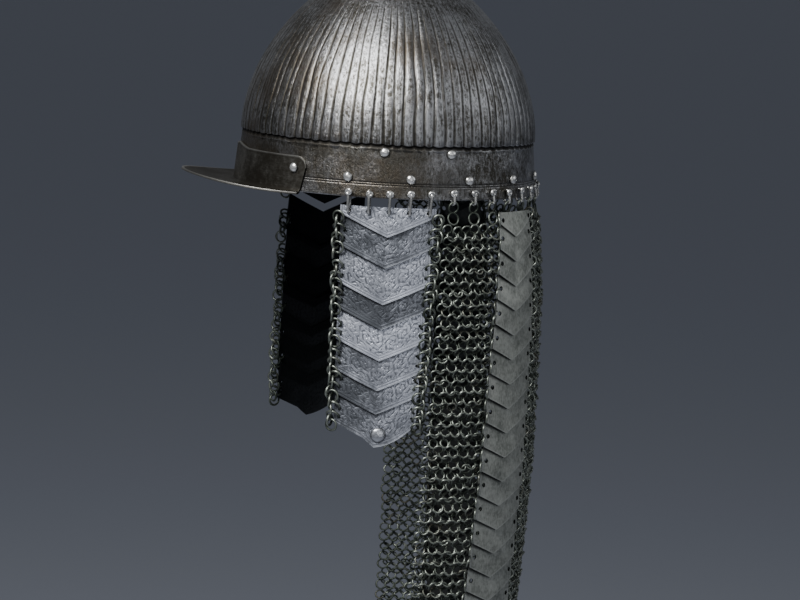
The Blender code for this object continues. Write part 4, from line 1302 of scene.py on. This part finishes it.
def mail_steel():
    """Ring wire: dark greenish steel, bright where the rings stand out and rub."""
    patina, bare, rust = (0.050, 0.058, 0.047), (0.235, 0.252, 0.217), (0.13, 0.095, 0.065)
    finish = Finish("mail_steel", 0.88)
    worn, tone, grime_and_shadow = finish.attribute("marks")
    spots = finish.noise(2.2 * MM, 4.0, 0.7)
    wear_and_sheen = finish.step(worn * 0.75 + tone * 0.45 + spots * 0.5, 0.65, 1.25)
    rusted = finish.step(grime_and_shadow + spots * 0.4, 1.02, 1.25) * 0.3
    colour = finish.mixed(rusted, finish.mixed(wear_and_sheen, patina, bare), rust)
    roughness = 0.45 - wear_and_sheen * 0.12 + spots * 0.12
    return finish.feed(colour, roughness, (spots, 0.10 * MM, 0.6))


def bright_steel(name, clean, tarnish):
    """Rivets, studs and links: bright steel with grey pits and a dark foot."""
    finish = Finish(name, 0.85)
    raised, foot, _ = finish.attribute("marks")
    spots = finish.noise(1.6 * MM, 4.0, 0.7)
    wear_and_sheen = finish.step(raised * 0.8 + spots * 0.7, 0.4, 1.05)
    colour = finish.mixed(wear_and_sheen, tarnish, clean)
    colour = finish.mixed(finish.limited(foot * 0.6), colour, (0.10, 0.10, 0.09))
    roughness = 0.26 - wear_and_sheen * 0.05 + spots * 0.08
    return finish.feed(colour, roughness, (spots, 0.12 * MM, 0.8))


# Stage

def add_floor():
    """A wide plain floor below the hem."""
    corners = np.array([(-1, -1, 0), (1, -1, 0), (1, 1, 0), (-1, 1, 0)]) * FLOOR_REACH
    corners[:, 2] = FLOOR_HEIGHT
    mesh = new_mesh("floor", corners, np.array([[0, 1, 2, 3]]))
    material = bpy.data.materials.new("floor")
    material.use_nodes = True
    shader = material.node_tree.nodes["Principled BSDF"]
    shader.inputs["Base Color"].default_value = FLOOR_COLOUR
    shader.inputs["Roughness"].default_value = 0.9
    mesh.materials.append(material)
    floor = bpy.data.objects.new("floor", mesh)
    bpy.context.scene.collection.objects.link(floor)


def add_lights():
    """Soft lights that face the helmet's middle, in a dim even studio."""
    for name, bearing, elevation, distance, width, height, watts, tint in LIGHTS:
        lamp = bpy.data.lights.new(name, "AREA")
        lamp.shape = "RECTANGLE"
        lamp.size, lamp.size_y = width, height
        lamp.energy = watts
        lamp.color = tint
        light = bpy.data.objects.new(name, lamp)
        rise = math.sin(math.radians(elevation)) * distance
        level = math.cos(math.radians(elevation)) * distance
        offset = Vector(around(level, bearing, rise).tolist())
        light.location = CAMERA_TARGET + offset
        light.rotation_euler = offset.to_track_quat("Z", "Y").to_euler()
        bpy.context.scene.collection.objects.link(light)
    world = bpy.data.worlds.new("studio")
    world.use_nodes = True
    background = world.node_tree.nodes["Background"]
    background.inputs["Color"].default_value = SKY_COLOUR
    background.inputs["Strength"].default_value = SKY_STRENGTH
    bpy.context.scene.world = world


def add_camera():
    """The photograph's viewpoint, rolled as the photograph leans."""
    back = (CAMERA_PLACE - CAMERA_TARGET).normalized()
    level = Vector((0, 0, 1)).cross(back).normalized()
    upright = back.cross(level)
    right = level * math.cos(CAMERA_ROLL) + upright * math.sin(CAMERA_ROLL)
    up = upright * math.cos(CAMERA_ROLL) - level * math.sin(CAMERA_ROLL)
    lens = bpy.data.cameras.new("camera")
    lens.lens = CAMERA_LENS
    lens.sensor_width = CAMERA_SENSOR
    lens.sensor_fit = "HORIZONTAL"
    camera = bpy.data.objects.new("camera", lens)
    matrix = Matrix((right, up, back)).transposed().to_4x4()
    matrix.translation = CAMERA_PLACE
    camera.matrix_world = matrix
    bpy.context.scene.collection.objects.link(camera)
    bpy.context.scene.camera = camera


def main():
    bright = bright_steel("bright_steel", (0.76, 0.75, 0.72), (0.15, 0.145, 0.13))
    stud = bright_steel("stud_steel", (0.52, 0.53, 0.56), (0.06, 0.06, 0.06))
    plates = plate_steel()
    mail = mail_steel()
    make_skull(skull_steel())
    make_peak(peak_steel())
    make_rivets(bright)
    for side in CHEEK_SIDES:
        for number in range(1, CHEEK_PLATE_COUNT + 1):
            make_cheek_plate(side, number, plates)
        make_boss(side, stud)
        for edge in (-1, 1):
            make_cheek_chain(side, edge, mail)
    make_links(bright)
    make_curtain(mail, neck_steel())
    add_floor()
    add_lights()
    add_camera()


main()
